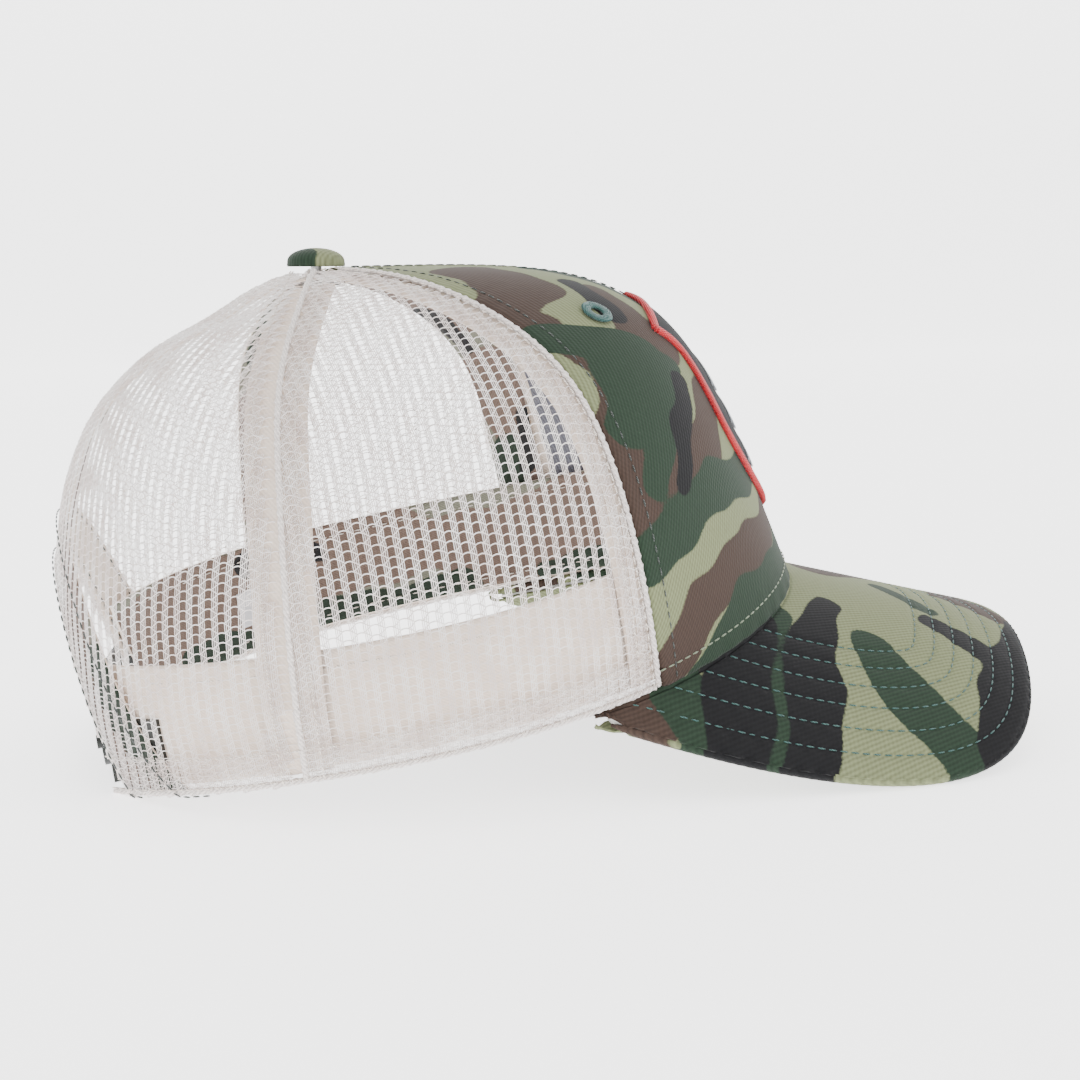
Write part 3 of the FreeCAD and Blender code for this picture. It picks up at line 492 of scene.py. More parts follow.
def knit_tree():
    """Sets one cell of the net on each point of the layout, each a little uneven."""
    tree, given, made = geometry_tree("net knitting", Cell="Object", Unevenness="Float", Seed="Int",
                                      Yarn="Material")
    cell = add_node(tree, "GeometryNodeObjectInfo", "Geometry", Object=given["Cell"])
    limits = []
    for spread in ((-1, -1, 0), (1, 1, 2)):
        limit = tree.nodes.new("ShaderNodeVectorMath")
        limit.operation = "MULTIPLY_ADD"
        for socket, value in zip(limit.inputs, (spread, given["Unevenness"], (1, 1, 1))):
            feed(tree, socket, value)
        limits.append(limit.outputs["Vector"])
    scatter = add_node(tree, "FunctionNodeRandomValue", "Value", {"data_type": "FLOAT_VECTOR"},
                       Min=limits[0], Max=limits[1], Seed=given["Seed"])
    placed = add_node(tree, "GeometryNodeInstanceOnPoints", "Instances", Points=given["Guide"], Instance=cell,
                      Scale=scatter)
    return paint_and_end(tree, made, placed, given["Yarn"])


def grown(guide, tree, **values):
    """Runs a Geometry Nodes tree on a guide and keeps what it makes as the guide's own mesh."""
    modifier = guide.modifiers.new("grow", "NODES")
    modifier.node_group = tree
    sockets = {s.name: s.identifier for s in tree.interface.items_tree if s.in_out == "INPUT"}
    for name, value in values.items():
        modifier[sockets[name]] = value
    made = bpy.data.meshes.new_from_object(guide.evaluated_get(bpy.context.evaluated_depsgraph_get()))
    guide.modifiers.remove(modifier)
    guide.data = made
    return made


def coordinates(mesh):
    found = np.empty(len(mesh.vertices) * 3)
    mesh.vertices.foreach_get("co", found)
    return found.reshape(-1, 3)


yarn, yarn_tree, yarn_shader = new_material("net yarn", (0.86, 0.80, 0.77), 0.42, Sheen_Weight=0.15)
speckle = add_node(yarn_tree, "ShaderNodeTexNoise", "Fac", Scale=120, Detail=4,
                   Vector=add_node(yarn_tree, "ShaderNodeTexCoord", "Object"))
yarn_tint = add_node(yarn_tree, "ShaderNodeValToRGB", "Color", Fac=speckle)
for stop, position, colour in zip(yarn_tint.node.color_ramp.elements, (0.3, 0.62),
                                  ((0.76, 0.66, 0.62, 1), (0.93, 0.89, 0.87, 1))):
    stop.color, stop.position = colour, position
yarn_tree.links.new(yarn_tint, yarn_shader.inputs["Base Color"])
knitting = knit_tree()


def in_opening(points_mm, margin):
    """Which points of the back, in mm from the button, lie in the rear opening."""
    y, z = points_mm[..., 1], points_mm[..., 2] + REAR_DROP
    return (y / (ARCH_HALF_WIDTH + margin)) ** 2 + (z / (ARCH_HEIGHT + margin)) ** 2 < 1


def knit_panel(name, node, side, fore, aft, length, opening):
    """Lays out the cells on the flat, knits them, and bends the panel over the crown."""
    def middle(run):
        return (fore(run) + aft(run)) / 2

    layers = []
    for layer, shift, depth in ((0, (0, 0), 0.0), (1, (1.7, 1.3), NET_LAYER_GAP)):
        columns = np.arange(-22, 23) * HOLE_ACROSS + shift[0]
        rows = np.arange(3, int(length / HOLE_DOWN)) * HOLE_DOWN + shift[1]
        x, y = np.meshgrid(columns, rows, indexing="ij")
        y = y + (np.arange(len(columns)) % 2)[:, None] * HOLE_DOWN / 2
        run = y / length
        turn = middle(run) + x / girth(middle(run), run)
        to_fore, to_aft = (turn - fore(run)) * girth(turn, run), (aft(run) - turn) * girth(turn, run)
        keep = (to_fore > 0.7) & (to_aft > 2.4) & (run < 0.992)
        skin = crown_skin(turn, run)
        if opening:
            keep &= ~in_opening(skin, 1.3)
        if layer:
            doubled = (to_fore < SEAM_TURN_IN) | (to_aft < SEAM_TURN_IN + 2)
            doubled |= (1 - run) * length < HEM_TURN_UP
            if opening:
                doubled |= in_opening(skin, 9.0)
                doubled &= to_aft > SEAM_TURN_IN
            keep &= doubled
        layers.append(np.stack([x[keep], y[keep], np.full(keep.sum(), -depth)], -1))
    layout = mesh_object(name, np.concatenate(layers), [])
    flat = coordinates(grown(layout, knitting, Cell=net_cell, Unevenness=0.05, Seed=7, Yarn=yarn))
    run = np.clip(flat[:, 1] / length, 0, 1.0)
    turn = middle(run) + flat[:, 0] / girth(middle(run), run)
    rough = 0.12 * np.sin(flat[:, 0] / 5 + flat[:, 1] / 9) + 0.1 * np.sin(flat[:, 1] / 4.1)
    bent = crown(side * turn, run, NET_DEPTH - flat[:, 2] + rough)
    layout.data.vertices.foreach_set("co", bent.ravel())
    layout.data.update()
    layout.data.shade_smooth()
    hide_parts(node)
    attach(layout, "crown")
    return layout


def back_middle(run):
    return np.pi + 0 * run


for side, name in ((1, "left"), (-1, "right")):
    knit_panel("side_net_" + name, "side_mesh_" + name, side, front_seam, side_seam, 168.0, False)
    knit_panel("back_net_" + name, "back_mesh_" + name, side, side_seam, back_middle, 173.0, True)
bpy.data.objects.remove(net_cell)

# ---- Seam edges and hem of the net
# The cut edge of the net is rolled along each seam and sewn down, and the hem and the edge of the
# rear opening are turned over, so that each ends in a thick, slightly fuzzy cord of net.
ROLL_RADIUS = 0.75


def rolled_edge(name, centres, radius, uneven, material):
    """A cord of turned cloth through points in metres, uneven along its length, closed at its ends."""
    centres = np.array(centres)
    along = unit(np.gradient(centres, axis=0))
    across = unit(np.cross(along, unit(centres - centres.mean(0) + [0, 0, 1e-4])))
    over = np.cross(across, along)
    sides = 8
    angles = np.arange(sides) * 2 * np.pi / sides
    step = np.arange(len(centres))
    wide = radius * (1 + uneven * np.sin(step * 1.9) * np.sin(step * 0.37 + 1))[:, None, None]
    wide[0], wide[-1] = 0.15 * radius, 0.15 * radius
    verts = (centres[:, None] + wide * rings_about(across, over, sides)).reshape(-1, 3)
    length = np.concatenate([[0], np.cumsum(np.linalg.norm(np.diff(centres, axis=0), axis=1))])
    uvs = np.stack([np.repeat(length, sides), np.tile(angles * radius, len(centres))], -1)
    edge = mesh_object(name, verts, tube_faces(len(centres), sides, capped=True), uvs, materials=(material,))
    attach(edge, "crown")
    return edge


net_cloth = add_weave(new_material("rolled net", roughness=0.6, Sheen_Weight=0.3, Sheen_Roughness=0.4),
                      (0.84, 0.77, 0.73), 0.8, 60, 0.35, 0.35, 0.9)
ROUGH_LENGTH = 170.0   # mm from the button to the hem, near enough to start a search


def opening_edge(margin, count=120):
    """Turn and run along the rear opening, from its right end over to its left."""
    angles = np.linspace(0.0, np.pi, count)
    y = -(ARCH_HALF_WIDTH + margin) * np.cos(angles)
    z = (ARCH_HEIGHT + margin) * np.sin(angles) - REAR_DROP
    turn, run = np.full(count, np.pi) - y / 80, 1 - (z + REAR_DROP) / ROUGH_LENGTH
    for _ in range(12):
        here, e = crown_skin(turn, run), 1e-3
        by_turn = (crown_skin(turn + e, run) - here) / e
        by_run = (crown_skin(turn, run - e) - here) / -e
        miss_y, miss_z = y - here[:, 1], z - here[:, 2]
        det = by_turn[:, 1] * by_run[:, 2] - by_turn[:, 2] * by_run[:, 1]
        turn = turn + (miss_y * by_run[:, 2] - miss_z * by_run[:, 1]) / det
        run = np.clip(run + (by_turn[:, 1] * miss_z - by_turn[:, 2] * miss_y) / det, 0.3, 0.998)
    return turn, run


def beside(seam, runs, offset):
    """The turn of a line some mm behind a seam, all the way down it."""
    return seam(runs) + offset / girth(seam(runs), runs)


runs = np.linspace(0.05, 0.995, 230)
for side, name in ((1, "left"), (-1, "right")):
    for seam, offset, label in ((front_seam, 0.9, "front_seam_roll_"), (side_seam, -1.1, "side_seam_roll_")):
        rolled_edge(label + name, crown(side * beside(seam, runs, offset), runs, 0.15), ROLL_RADIUS * MM, 0.3,
                    net_cloth)
    turn = np.linspace(np.radians(63.5), np.radians(151.5), 230)
    rolled_edge("net_hem_" + name, crown(side * turn, 0.994 + 0 * turn, 0.6), 0.8 * MM, 0.25, net_cloth)
arch_turn, arch_run = opening_edge(0.8)
rolled_edge("rear_opening_roll", crown(arch_turn, arch_run, 0.7), 0.85 * MM, 0.2, net_cloth)

# ---- Lining of the front panels
# Blue-grey buckram that keeps the brow standing. It is seen from inside and through the net.
LINING_DEPTH, LINING_THICK = 0.95, 0.5
buckram = add_weave(new_material("buckram", roughness=0.9), (0.16, 0.16, 0.19), 1.1, 0, 0.5, 0.3)
for side, name in ((1, "left"), (-1, "right")):
    u, v = grid((0, 1, 40), (0.06, 0.985, 80))
    turn = 0.15 / girth(0 * v, v) + (front_seam(v) - 0.12) * u
    outer = crown(side * turn, v, LINING_DEPTH + 0.12 * np.sin(v * 40) * np.sin(u * 9))
    uv = np.stack([turn * girth(turn / 2, v), v * PANEL_LENGTH], -1) * MM
    lining = cloth("front_lining_cloth_" + name, outer, LINING_THICK * MM, uv, materials=(buckram,),
                   turned=-side)
    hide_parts("front_lining_" + name)
    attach(lining, "crown")

# ---- Seam tapes
# Printed twill tape, folded, sewn over each seam on the inside with its printed side in, so that its
# unprinted back shows through the net. The long one runs from the brow over the top to the opening.
TAPE_WIDTH, TAPE_THICK, TAPE_DEPTH = 16.0, 0.5, 1.7
inner_parts = new_material("printed side", roughness=0.85, Sheen_Weight=0.2)
inner_colour = printed_colour(inner_parts[1], pale=(0.2, 0.2, 0.15), brown=(0.17, 0.115, 0.09))
inner_print = add_weave(inner_parts, inner_colour, 0.9, 38, 0.3, 0.12)
TAPE_BROWN = [[(4, 10, 9), (9, 60, 10)], [(2, 78, 8), (12, 120, 9), (6, 160, 9)], [(8, 185, 9), (4, 240, 9)],
              [(9, 265, 9), (6, 330, 9)]]
TAPE_GREEN = [[(14, 40, 5), (10, 72, 5)], [(1, 130, 4), (4, 150, 5)], [(12, 215, 5), (8, 250, 4)]]
TAPE_BLACK = [[(15, 20, 3), (14, 34, 3)], [(15, 150, 3), (13, 176, 2.5)], [(2, 205, 3), (5, 222, 3)]]


def sew_tape(name, node, outer, length, shift):
    rows, columns = outer.shape[:2]
    x, y = grid((0, TAPE_WIDTH, rows), (0, length, columns))
    inks = print_attributes(x, y + shift, TAPE_BROWN, TAPE_GREEN, TAPE_BLACK)
    bulge = 1 - np.abs(np.linspace(-1, 1, rows))[:, None] ** 6
    square = unit(np.cross(np.gradient(outer, axis=0), np.gradient(outer, axis=1)))
    turned = 1 if (square * (outer - (apex + [0.01, 0, -0.09]))).sum(-1).mean() > 0 else -1
    outer = outer + square * turned * (0.12 * MM * (bulge + 0.5 * np.sin(y / 1.6) * (1 - bulge)))[..., None]
    tape = cloth(name, outer, TAPE_THICK * MM, np.stack([x, y], -1) * MM, inks, (cream_back, inner_print),
                 turned=turned)
    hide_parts(node)
    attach(tape, "crown")
    return tape


for side, name in ((1, "left"), (-1, "right")):
    for seam, label, shift in ((front_seam, "front_seam_tape", 20), (side_seam, "side_seam_tape", 110)):
        u, v = grid((-0.5, 0.5, 9), (0.11, 0.985, 130))
        sew_tape(label + "_cloth_" + name, label + "_" + name,
                 crown(side * beside(seam, v, u * TAPE_WIDTH), v, TAPE_DEPTH), 148.0, shift + 90 * (side > 0))

along_top = np.concatenate([-np.linspace(0.97 * front_length, 0.5, 150),
                            np.linspace(0.5, 0.615 * rear_length, 100)])
turn = np.where(along_top < 0, 0.0, np.pi)
run = np.where(along_top < 0, -along_top / front_length, along_top / rear_length)
middle = crown_skin(turn, run)
tangent = unit(np.gradient(middle, axis=0))
outwards = np.cross(np.array([0.0, 1.0, 0.0]), tangent)
aside_mm = np.linspace(-0.5, 0.5, 9) * TAPE_WIDTH
tape_mm = (middle[None] + aside_mm[:, None, None] * np.array([0, 1.0, 0])
           - outwards * (2.2 + aside_mm[:, None, None] ** 2 / 144))
sew_tape("centre_seam_tape_cloth", "centre_seam_tape", apex + MM * tape_mm,
         0.97 * front_length + 0.615 * rear_length, 0)

# ---- Binding of the rear opening
# A folded strip of the printed twill on the inside of the arch, held by two rows of stitches that go
# through to the net.
BINDING_WIDTH, BINDING_DEPTH, BINDING_THICK = 14.0, 1.75, 0.5
rows = [opening_edge(margin, 110) for margin in np.linspace(0.4, BINDING_WIDTH, 9)]
turn, run = np.array([t for t, _ in rows]), np.array([r for _, r in rows])
x, y = grid((0, BINDING_WIDTH, 9), (0, 165, 110))
inks = print_attributes(x, y + 40, TAPE_BROWN, TAPE_GREEN, TAPE_BLACK)
binding = cloth("arch_binding_cloth", crown(turn, run, BINDING_DEPTH), BINDING_THICK * MM,
                np.stack([x, y], -1) * MM, inks, (cream_back, inner_print), turned=-1)
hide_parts("arch_binding")
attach(binding, "crown")

# ---- Sweatband
# A strip of the twill folded lengthwise over a thin pad, sewn to the hem with its printed side
# against the head; its two ends stop at the rear opening.
BAND_HEIGHT, BAND_DEPTH, BAND_THICK = 36.0, 3.75, 0.95


def run_above_hem(turn, height):
    run = 1 - height / ROUGH_LENGTH
    for _ in range(5):
        mid = (1 + run) / 2
        fall = np.linalg.norm(crown_skin(turn, mid + 1e-3) - crown_skin(turn, mid - 1e-3), axis=-1) / 2e-3
        run = 1 - height / fall
    return run


def band_y_at(turn):
    """How far to the left the sweatband reaches at a turn, mm."""
    return crown_skin(turn, 1 - height / ROUGH_LENGTH)[..., 1]


u, v = grid((-1, 1, 420), (0, 1, 26))
height = 0.9 + (BAND_HEIGHT - 0.9) * (1 - v)
end_y = ARCH_HALF_WIDTH * np.sqrt(1 - (height / ARCH_HEIGHT) ** 2) + 0.6
end_turn = np.radians(150) + 0 * v
for _ in range(12):
    slope = (band_y_at(end_turn + 1e-3) - band_y_at(end_turn)) / 1e-3
    end_turn = end_turn - (band_y_at(end_turn) - end_y) / slope
turn = u * end_turn
run = run_above_hem(turn, height)
band_x, band_y = u * 262, height
pad = np.sin(np.pi * np.clip((height - 4) / 29, 0, 1)) ** 0.5
seam_pull = np.sin(band_x / 2.6 + np.sin(band_x / 11)) * np.exp(-((height - 33) / 3.0) ** 2)
lift = 0.55 * pad + 0.12 * seam_pull + 0.35 * np.sin(band_x / 23) * (height / BAND_HEIGHT) ** 2
outer = crown(turn, run, BAND_DEPTH - 0.35 * pad - lift * 0.4)
BAND_BROWN = [[(-262, 20, 14), (-190, 14, 17)], [(-160, 28, 12), (-60, 20, 16)],
              [(-30, 10, 11), (40, 24, 14)], [(70, 22, 14), (130, 14, 15)], [(150, 26, 14), (262, 18, 16)]]
BAND_GREEN = [[(-230, 3, 5), (-150, 2, 6)], [(-100, 4, 5), (-20, 2, 6)], [(30, 3, 5), (110, 2, 6)],
              [(140, 3, 6), (240, 3, 6)]]
BAND_BLACK = [[(-60, 27, 4), (-35, 31, 5)], [(20, 30, 4), (52, 33, 5)], [(176, 26, 4), (200, 31, 5)]]
inks = print_attributes(band_x, band_y, BAND_BROWN, BAND_GREEN, BAND_BLACK)
band = cloth("sweatband_cloth", outer, BAND_THICK * MM, np.stack([band_x, band_y], -1) * MM, inks,
             (cream_back, inner_print), turned=-1)
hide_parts("sweatband")
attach(band, "crown")

# ---- Bill
# Two covers of the printed twill, sewn face to face round the edge and turned over a plastic board,
# then quilted to it by six rows of stitches. The board shows only as the bill's stiff curve.
BILL_REACH, BILL_TIP_RISE, BILL_ARCH_RADIUS = 71.0, 28.0, 109.0
BILL_PLAN = [(0, 1), (1.01, 1.27), (0.77, 0.93), (1, 0.46), (1, 0)]
HALF_STACK, SEAM_PLAY = 1.7, 0.5
BILL_ROWS, ROW_SPACING, FIRST_ROW = 6, 5.4, 5.0
corner_turn = math.radians(75)
hem_front = crown_skin(np.array(0.0), np.array(1.0))
corner = crown_skin(np.array(corner_turn), np.array(1.0))
tip_x, tip_z = FRONT_REACH + BILL_REACH, BILL_TIP_RISE - REAR_DROP


def ridge(x):
    return hem_front[2] + (tip_z - hem_front[2]) * (x - hem_front[0]) / (tip_x - hem_front[0])


corner_sag = ridge(corner[0]) - corner[2]
corner_bend = 2 * corner_sag / (corner[1] ** 2 + corner_sag ** 2)
half_edge = bezier(BILL_PLAN, np.linspace(0, 1, 200))
edge_x = corner[0] + half_edge[:, 0] * (tip_x - corner[0])
edge_y = half_edge[:, 1] * corner[1]
share = (edge_x - corner[0]) / (tip_x - corner[0])
edge_radius = 1 / (corner_bend * (1 - share) + share / BILL_ARCH_RADIUS)
edge_z = ridge(edge_x) - edge_radius + np.sqrt(edge_radius ** 2 - edge_y ** 2)
left_edge = np.stack([edge_x, edge_y, edge_z], -1)
rim_raw = np.concatenate([left_edge * [1, -1, 1], left_edge[-2::-1]])
rim_runs = np.concatenate([[0], np.cumsum(np.linalg.norm(np.diff(rim_raw, axis=0), axis=1))])


def bill_rim(u):
    return np.stack([np.interp(u * rim_runs[-1], rim_runs, rim_raw[:, k]) for k in range(3)], -1)


def bill_middle(u, v):
    """Middle layer of the bill, mm from the button: u right to left, v from the hem to the edge."""
    place = (2 * u - 1) * corner_turn, 1.0 + 0 * u
    seam = crown_skin(*place) - crown_out(*place) * PANEL_THICK - np.array([0, 0, HALF_STACK + SEAM_PLAY])
    return seam * (1 - v[..., None]) + bill_rim(u) * v[..., None]


def bill_up(u, v):
    e = 0.002
    u, v = np.clip(u, 2 * e, 1 - 2 * e), np.clip(v, 2 * e, 1 - 2 * e)
    return unit(np.cross(bill_middle(u, v + e) - bill_middle(u, v - e),
                         bill_middle(u + e, v) - bill_middle(u - e, v)))


def from_rim(points):
    """Distance in from the bill's edge, seen from above."""
    gaps = points[..., None, :2] - rim_raw[::3, :2]
    return np.sqrt((gaps ** 2).sum(-1)).min(-1)


BILL_BROWN = [[(12, 1, 6), (31, 10, 7)], [(62, 30, 6), (60, 0, 7), (63, -14, 5)],
              [(-74, -72, 12), (-58, -69, 7)], [(-25, 50, 8), (4, 56, 8)], [(40, 52, 7), (52, 38, 5)],
              [(-60, 66, 8), (-52, 76, 7)]]
BILL_GREEN = [[(12, -45, 7), (15, -59, 8), (24, -74, 8)], [(-15, -42, 4), (-24, -64, 4), (-31, -80, 4)],
              [(-56, -62, 9), (-48, -74, 9)], [(30, -8, 3), (36, -22, 4)], [(6, 24, 7), (18, 36, 7)],
              [(-42, 58, 7), (-30, 76, 8)], [(30, 70, 9), (14, 78, 8)]]
BILL_BLACK = [[(34, -30, 3), (44, -38, 4), (54, -49, 5)],
              [(66, -20, 4), (58, -40, 6), (47, -57, 7), (33, -74, 6)],
              [(2, -30, 4), (-11, -57, 7), (-24, -82, 7)], [(-21, -44, 5), (-38, -66, 8), (-43, -80, 8)],
              [(22, 52, 6), (36, 62, 6)], [(-10, 72, 7), (-24, 66, 6)], [(66, 18, 4), (60, 36, 5)]]
bill_cloth = printed_cloth("bill twill", 72)
BILL_COVER_THICK = 0.6
u, v = np.meshgrid(np.linspace(0.004, 0.996, 300), np.linspace(0, 1, 110) ** 0.9, indexing="ij")
middle = bill_middle(u, v)
inset = from_rim(middle)
for face, node in ((1, "bill_top_cover"), (-1, "bill_under_cover")):
    groove = sum(np.exp(-((inset - FIRST_ROW - k * ROW_SPACING) / 0.75) ** 2) for k in range(BILL_ROWS))
    edge_round = np.sqrt(np.clip(1 - ((2.2 - inset) / 2.2).clip(0, 1) ** 2, 0, 1))
    near_row = sum(np.exp(-np.abs(inset - FIRST_ROW - k * ROW_SPACING) / 1.6) for k in range(BILL_ROWS))
    ripple = np.sin(u * rim_runs[-1] / 1.25 + 2 * np.sin(u * 40) + v * 9) * near_row
    lift = HALF_STACK * edge_round + (0.25 - 0.38 * groove + 0.05 * ripple) * edge_round + 0.02
    outer = apex + MM * (middle + bill_up(u, v) * (face * lift)[..., None])
    place_x, place_y = middle[..., 0] - hem_front[0], middle[..., 1]
    if face < 0:
        place_x, place_y = 20 - place_x, -place_y
    inks = print_attributes(place_x, place_y, BILL_BROWN, BILL_GREEN, BILL_BLACK)
    cover = cloth(node + "_cloth", outer, BILL_COVER_THICK * MM, middle[..., :2] * MM, inks, (bill_cloth,),
                  turned=-face)
    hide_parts(node)
    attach(cover, "crown")


def turned_fold(name, line, up, radius, flatten, end_taper):
    """A fold of the printed twill along a line in mm from the button, rounded and closed at its ends."""
    count, sides = len(line), 10
    along = unit(np.gradient(line, axis=0))
    outwards = np.cross(along, up)
    step = np.arange(count)
    taper = np.clip(np.minimum(step, count - 1 - step) / end_taper, 0.1, 1) ** 0.5
    thick = radius * (1 + 0.03 * np.sin(step * 1.7)) * taper
    points = line[:, None] + thick[:, None, None] * rings_about(outwards * flatten, up, sides)
    flat = points[..., :2].reshape(-1, 2)
    inks = print_attributes(flat[:, 0] - hem_front[0], flat[:, 1], BILL_BROWN, BILL_GREEN, BILL_BLACK)
    fold = mesh_object(name, (apex + MM * points).reshape(-1, 3), tube_faces(count, sides, capped=True),
                       flat * MM, inks, materials=(bill_cloth,))
    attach(fold, "crown")
    return fold


# the turned edge where the two covers meet, and the seam allowance that fills the bill's seam
rim_u = np.linspace(0.014, 0.986, 520)
turned_fold("bill_edge_fold", bill_middle(rim_u, np.full(520, 0.994)), bill_up(rim_u, np.full(520, 0.99)),
            1.45, 0.75, 10)
seam_turn = np.linspace(-corner_turn * 0.985, corner_turn * 0.985, 320)
seam_run = np.ones(320)
seam_line = crown_skin(seam_turn, seam_run) - crown_out(seam_turn, seam_run) * 0.9 - np.array([0, 0, 1.0])
turned_fold("bill_seam_fold", seam_line, np.tile([0.0, 0, 1], (320, 1)), 1.45, 0.8, 8)

board, board_tree, board_shader = new_material("bill board", (0.8, 0.8, 0.77), 0.5)
add_relief(board_tree, board_shader, add_node(board_tree, "ShaderNodeTexNoise", "Fac", Scale=900), 0.05 * MM)


def finish_node(name, material):
    """Gives a carried-over CAD node its material."""
    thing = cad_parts[name]
    thing.data.materials.clear()
    thing.data.materials.append(material)


finish_node("bill_board", board)

# ---- Stitches
# Every seam is lock-stitched: short threads that dip into the cloth at each end. Teal thread quilts
# the bill, dark thread runs beside the crown's seams, and cream thread holds the net and the band.
def stitch_tree():
    """Sets one thread on each step of a guide line, which carries the outward direction 'out'."""
    tree, given, made = geometry_tree("row of stitches", Pitch="Float", Length="Float", Width="Float",
                                      Rise="Float", Slant="Float", Thread="Material")
    line = add_node(tree, "GeometryNodeMeshToCurve", Mesh=given["Guide"])
    steps = add_node(tree, "GeometryNodeResampleCurve", settings={"mode": "LENGTH"}, Curve=line,
                     Length=given["Pitch"])
    thread = add_node(tree, "GeometryNodeMeshUVSphere", "Mesh", Segments=8, Rings=5, Radius=0.5)
    sizes = add_node(tree, "ShaderNodeCombineXYZ", X=given["Rise"], Y=given["Width"], Z=given["Length"])
    slant = add_node(tree, "ShaderNodeCombineXYZ", X=given["Slant"])
    shape = add_node(tree, "GeometryNodeTransform", Geometry=thread, Scale=sizes)
    lean = add_node(tree, "GeometryNodeTransform", Geometry=shape, Rotation=slant)
    out = add_node(tree, "GeometryNodeInputNamedAttribute", "Attribute", {"data_type": "FLOAT_VECTOR"},
                   Name="out")
    aim = add_node(tree, "FunctionNodeAxesToRotation", settings={"primary_axis": "Z", "secondary_axis": "X"},
                   Primary_Axis=add_node(tree, "GeometryNodeInputTangent"), Secondary_Axis=out)
    placed = add_node(tree, "GeometryNodeInstanceOnPoints", "Instances", Points=steps, Instance=lean,
                      Rotation=aim)
    return paint_and_end(tree, made, placed, given["Thread"])


stitching = stitch_tree()


def two_tones(tree, shader, base, factor, dark, light):
    """Colours a material between a darker and a lighter tone of one colour."""
    tint = add_node(tree, "ShaderNodeMix", "Result", {"data_type": "RGBA"}, Factor=factor,
                    A=tuple(c * dark for c in base), B=tuple(min(c * light, 1) for c in base))
    tree.links.new(tint, shader.inputs["Base Color"])


def thread_material(name, base, roughness=0.45):
    """Twisted thread: fine slanting plies with painted light and shade, and a soft sheen."""
    material, tree, shader = new_material(name, base, roughness, Sheen_Weight=0.3)
    plies = add_node(tree, "ShaderNodeTexWave", "Fac", {"bands_direction": "DIAGONAL"}, Scale=900,
                     Distortion=1.5, Vector=add_node(tree, "ShaderNodeTexCoord", "Object"))
    # Painted light and shade: the plies' crests are lightened and the grooves between them darkened,
    # following their relief.
    two_tones(tree, shader, base, plies, 0.6, 1.25)
    add_relief(tree, shader, plies, 0.12 * MM)
    return material


def sew(name, lines, thread, pitch=3.0, length=2.3, width=0.55, rise=0.5, slant=0.0, closed=False):
    """Rows of stitches along lines of (points, outward directions), sizes in mm."""
    verts, edges, outs, base = [], [], [], 0
    for points, directions in lines:
        verts.append(points)
        outs.append(directions)
        edges += [(base + i, base + i + 1) for i in range(len(points) - 1)]
        if closed:
            edges.append((base + len(points) - 1, base))
        base += len(points)
    mesh = bpy.data.meshes.new(name)
    mesh.from_pydata(np.concatenate(verts).tolist(), edges, [])
    outward = mesh.attributes.new("out", "FLOAT_VECTOR", "POINT")
    outward.data.foreach_set("vector", np.concatenate(outs).astype(np.float32).ravel())
    rows = bpy.data.objects.new(name, mesh)
    bpy.context.scene.collection.objects.link(rows)
    grown(rows, stitching, Pitch=pitch * MM, Length=length * MM, Width=width * MM, Rise=rise * MM,
          Slant=slant, Thread=thread)
    rows.data.shade_smooth()
    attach(rows, "crown")
    return rows


def crown_row(turn, run, depth):
    """A row on the crown, with its outward directions; a negative depth is above the cloth."""
    turn, run = np.broadcast_arrays(np.asarray(turn, float), np.asarray(run, float))
    return crown(turn, run, depth), crown_out(turn, run)


def meet(surface, first, second, wanted, start, steps=14):
    """The parameters at which a surface has the wanted values along two directions."""
    u, v = start
    for _ in range(steps):
        e = 1e-3
        here = surface(u, v)
        by_u, by_v = (surface(u + e, v) - here) / e, (surface(u, v - e) - here) / -e
        a, b, c, d = by_u @ first, by_v @ first, by_u @ second, by_v @ second
        miss_1, miss_2 = wanted[0] - here @ first, wanted[1] - here @ second
        det = a * d - b * c
        u, v = u + (miss_1 * d - b * miss_2) / det, v + (a * miss_2 - miss_1 * c) / det
        u, v = np.clip(u, -9, 9), np.clip(v, 0.0, 1.0)
    return u, v


STITCH_CLEAR = 0.02     # mm that the quilting lies above the covers
NET_STITCH_LIFT = 0.45  # mm that the rows on the net lie above it
teal_thread = thread_material("teal thread", (0.02, 0.10, 0.09))
dark_thread = thread_material("dark thread", (0.03, 0.04, 0.035))
cream_thread = thread_material("cream thread", (0.82, 0.72, 0.64))
moss_thread = thread_material("moss thread", (0.22, 0.27, 0.17))
x_way, y_way, z_way = np.eye(3)
for face, label in ((1, "top"), (-1, "under")):
    rows = []
    for k in range(BILL_ROWS):
        inward = FIRST_ROW + k * ROW_SPACING
        rim = bill_rim(np.linspace(0.0, 1.0, 700))
        heading = unit(np.gradient(rim[:, :2], axis=0))
        line = rim[:, :2] + inward * np.stack([-heading[:, 1], heading[:, 0]], -1)
        guess = (np.linspace(0.0, 1.0, 700), np.full(700, 0.8))
        bu, bv = meet(bill_middle, x_way, y_way, (line[:, 0], line[:, 1]), guess)
        bu = np.clip(bu, 0, 1)
        spot = bill_middle(bu, bv)
        good = np.hypot(spot[:, 0] - line[:, 0], spot[:, 1] - line[:, 1]) < 0.4
        good &= (bv > 0.02) & (from_rim(spot) > inward - 0.7)
        runs_of = np.flatnonzero(good)
        if len(runs_of) < 10:
            continue
        bu, bv, up = bu[runs_of], bv[runs_of], bill_up(bu[runs_of], bv[runs_of])
        at = apex + MM * (bill_middle(bu, bv) + face * up * (HALF_STACK + STITCH_CLEAR))
        rows.append((at, face * up))
    sew("bill_quilting_" + label, rows, teal_thread, pitch=3.1, length=2.3, width=0.42,
        rise=0.45)

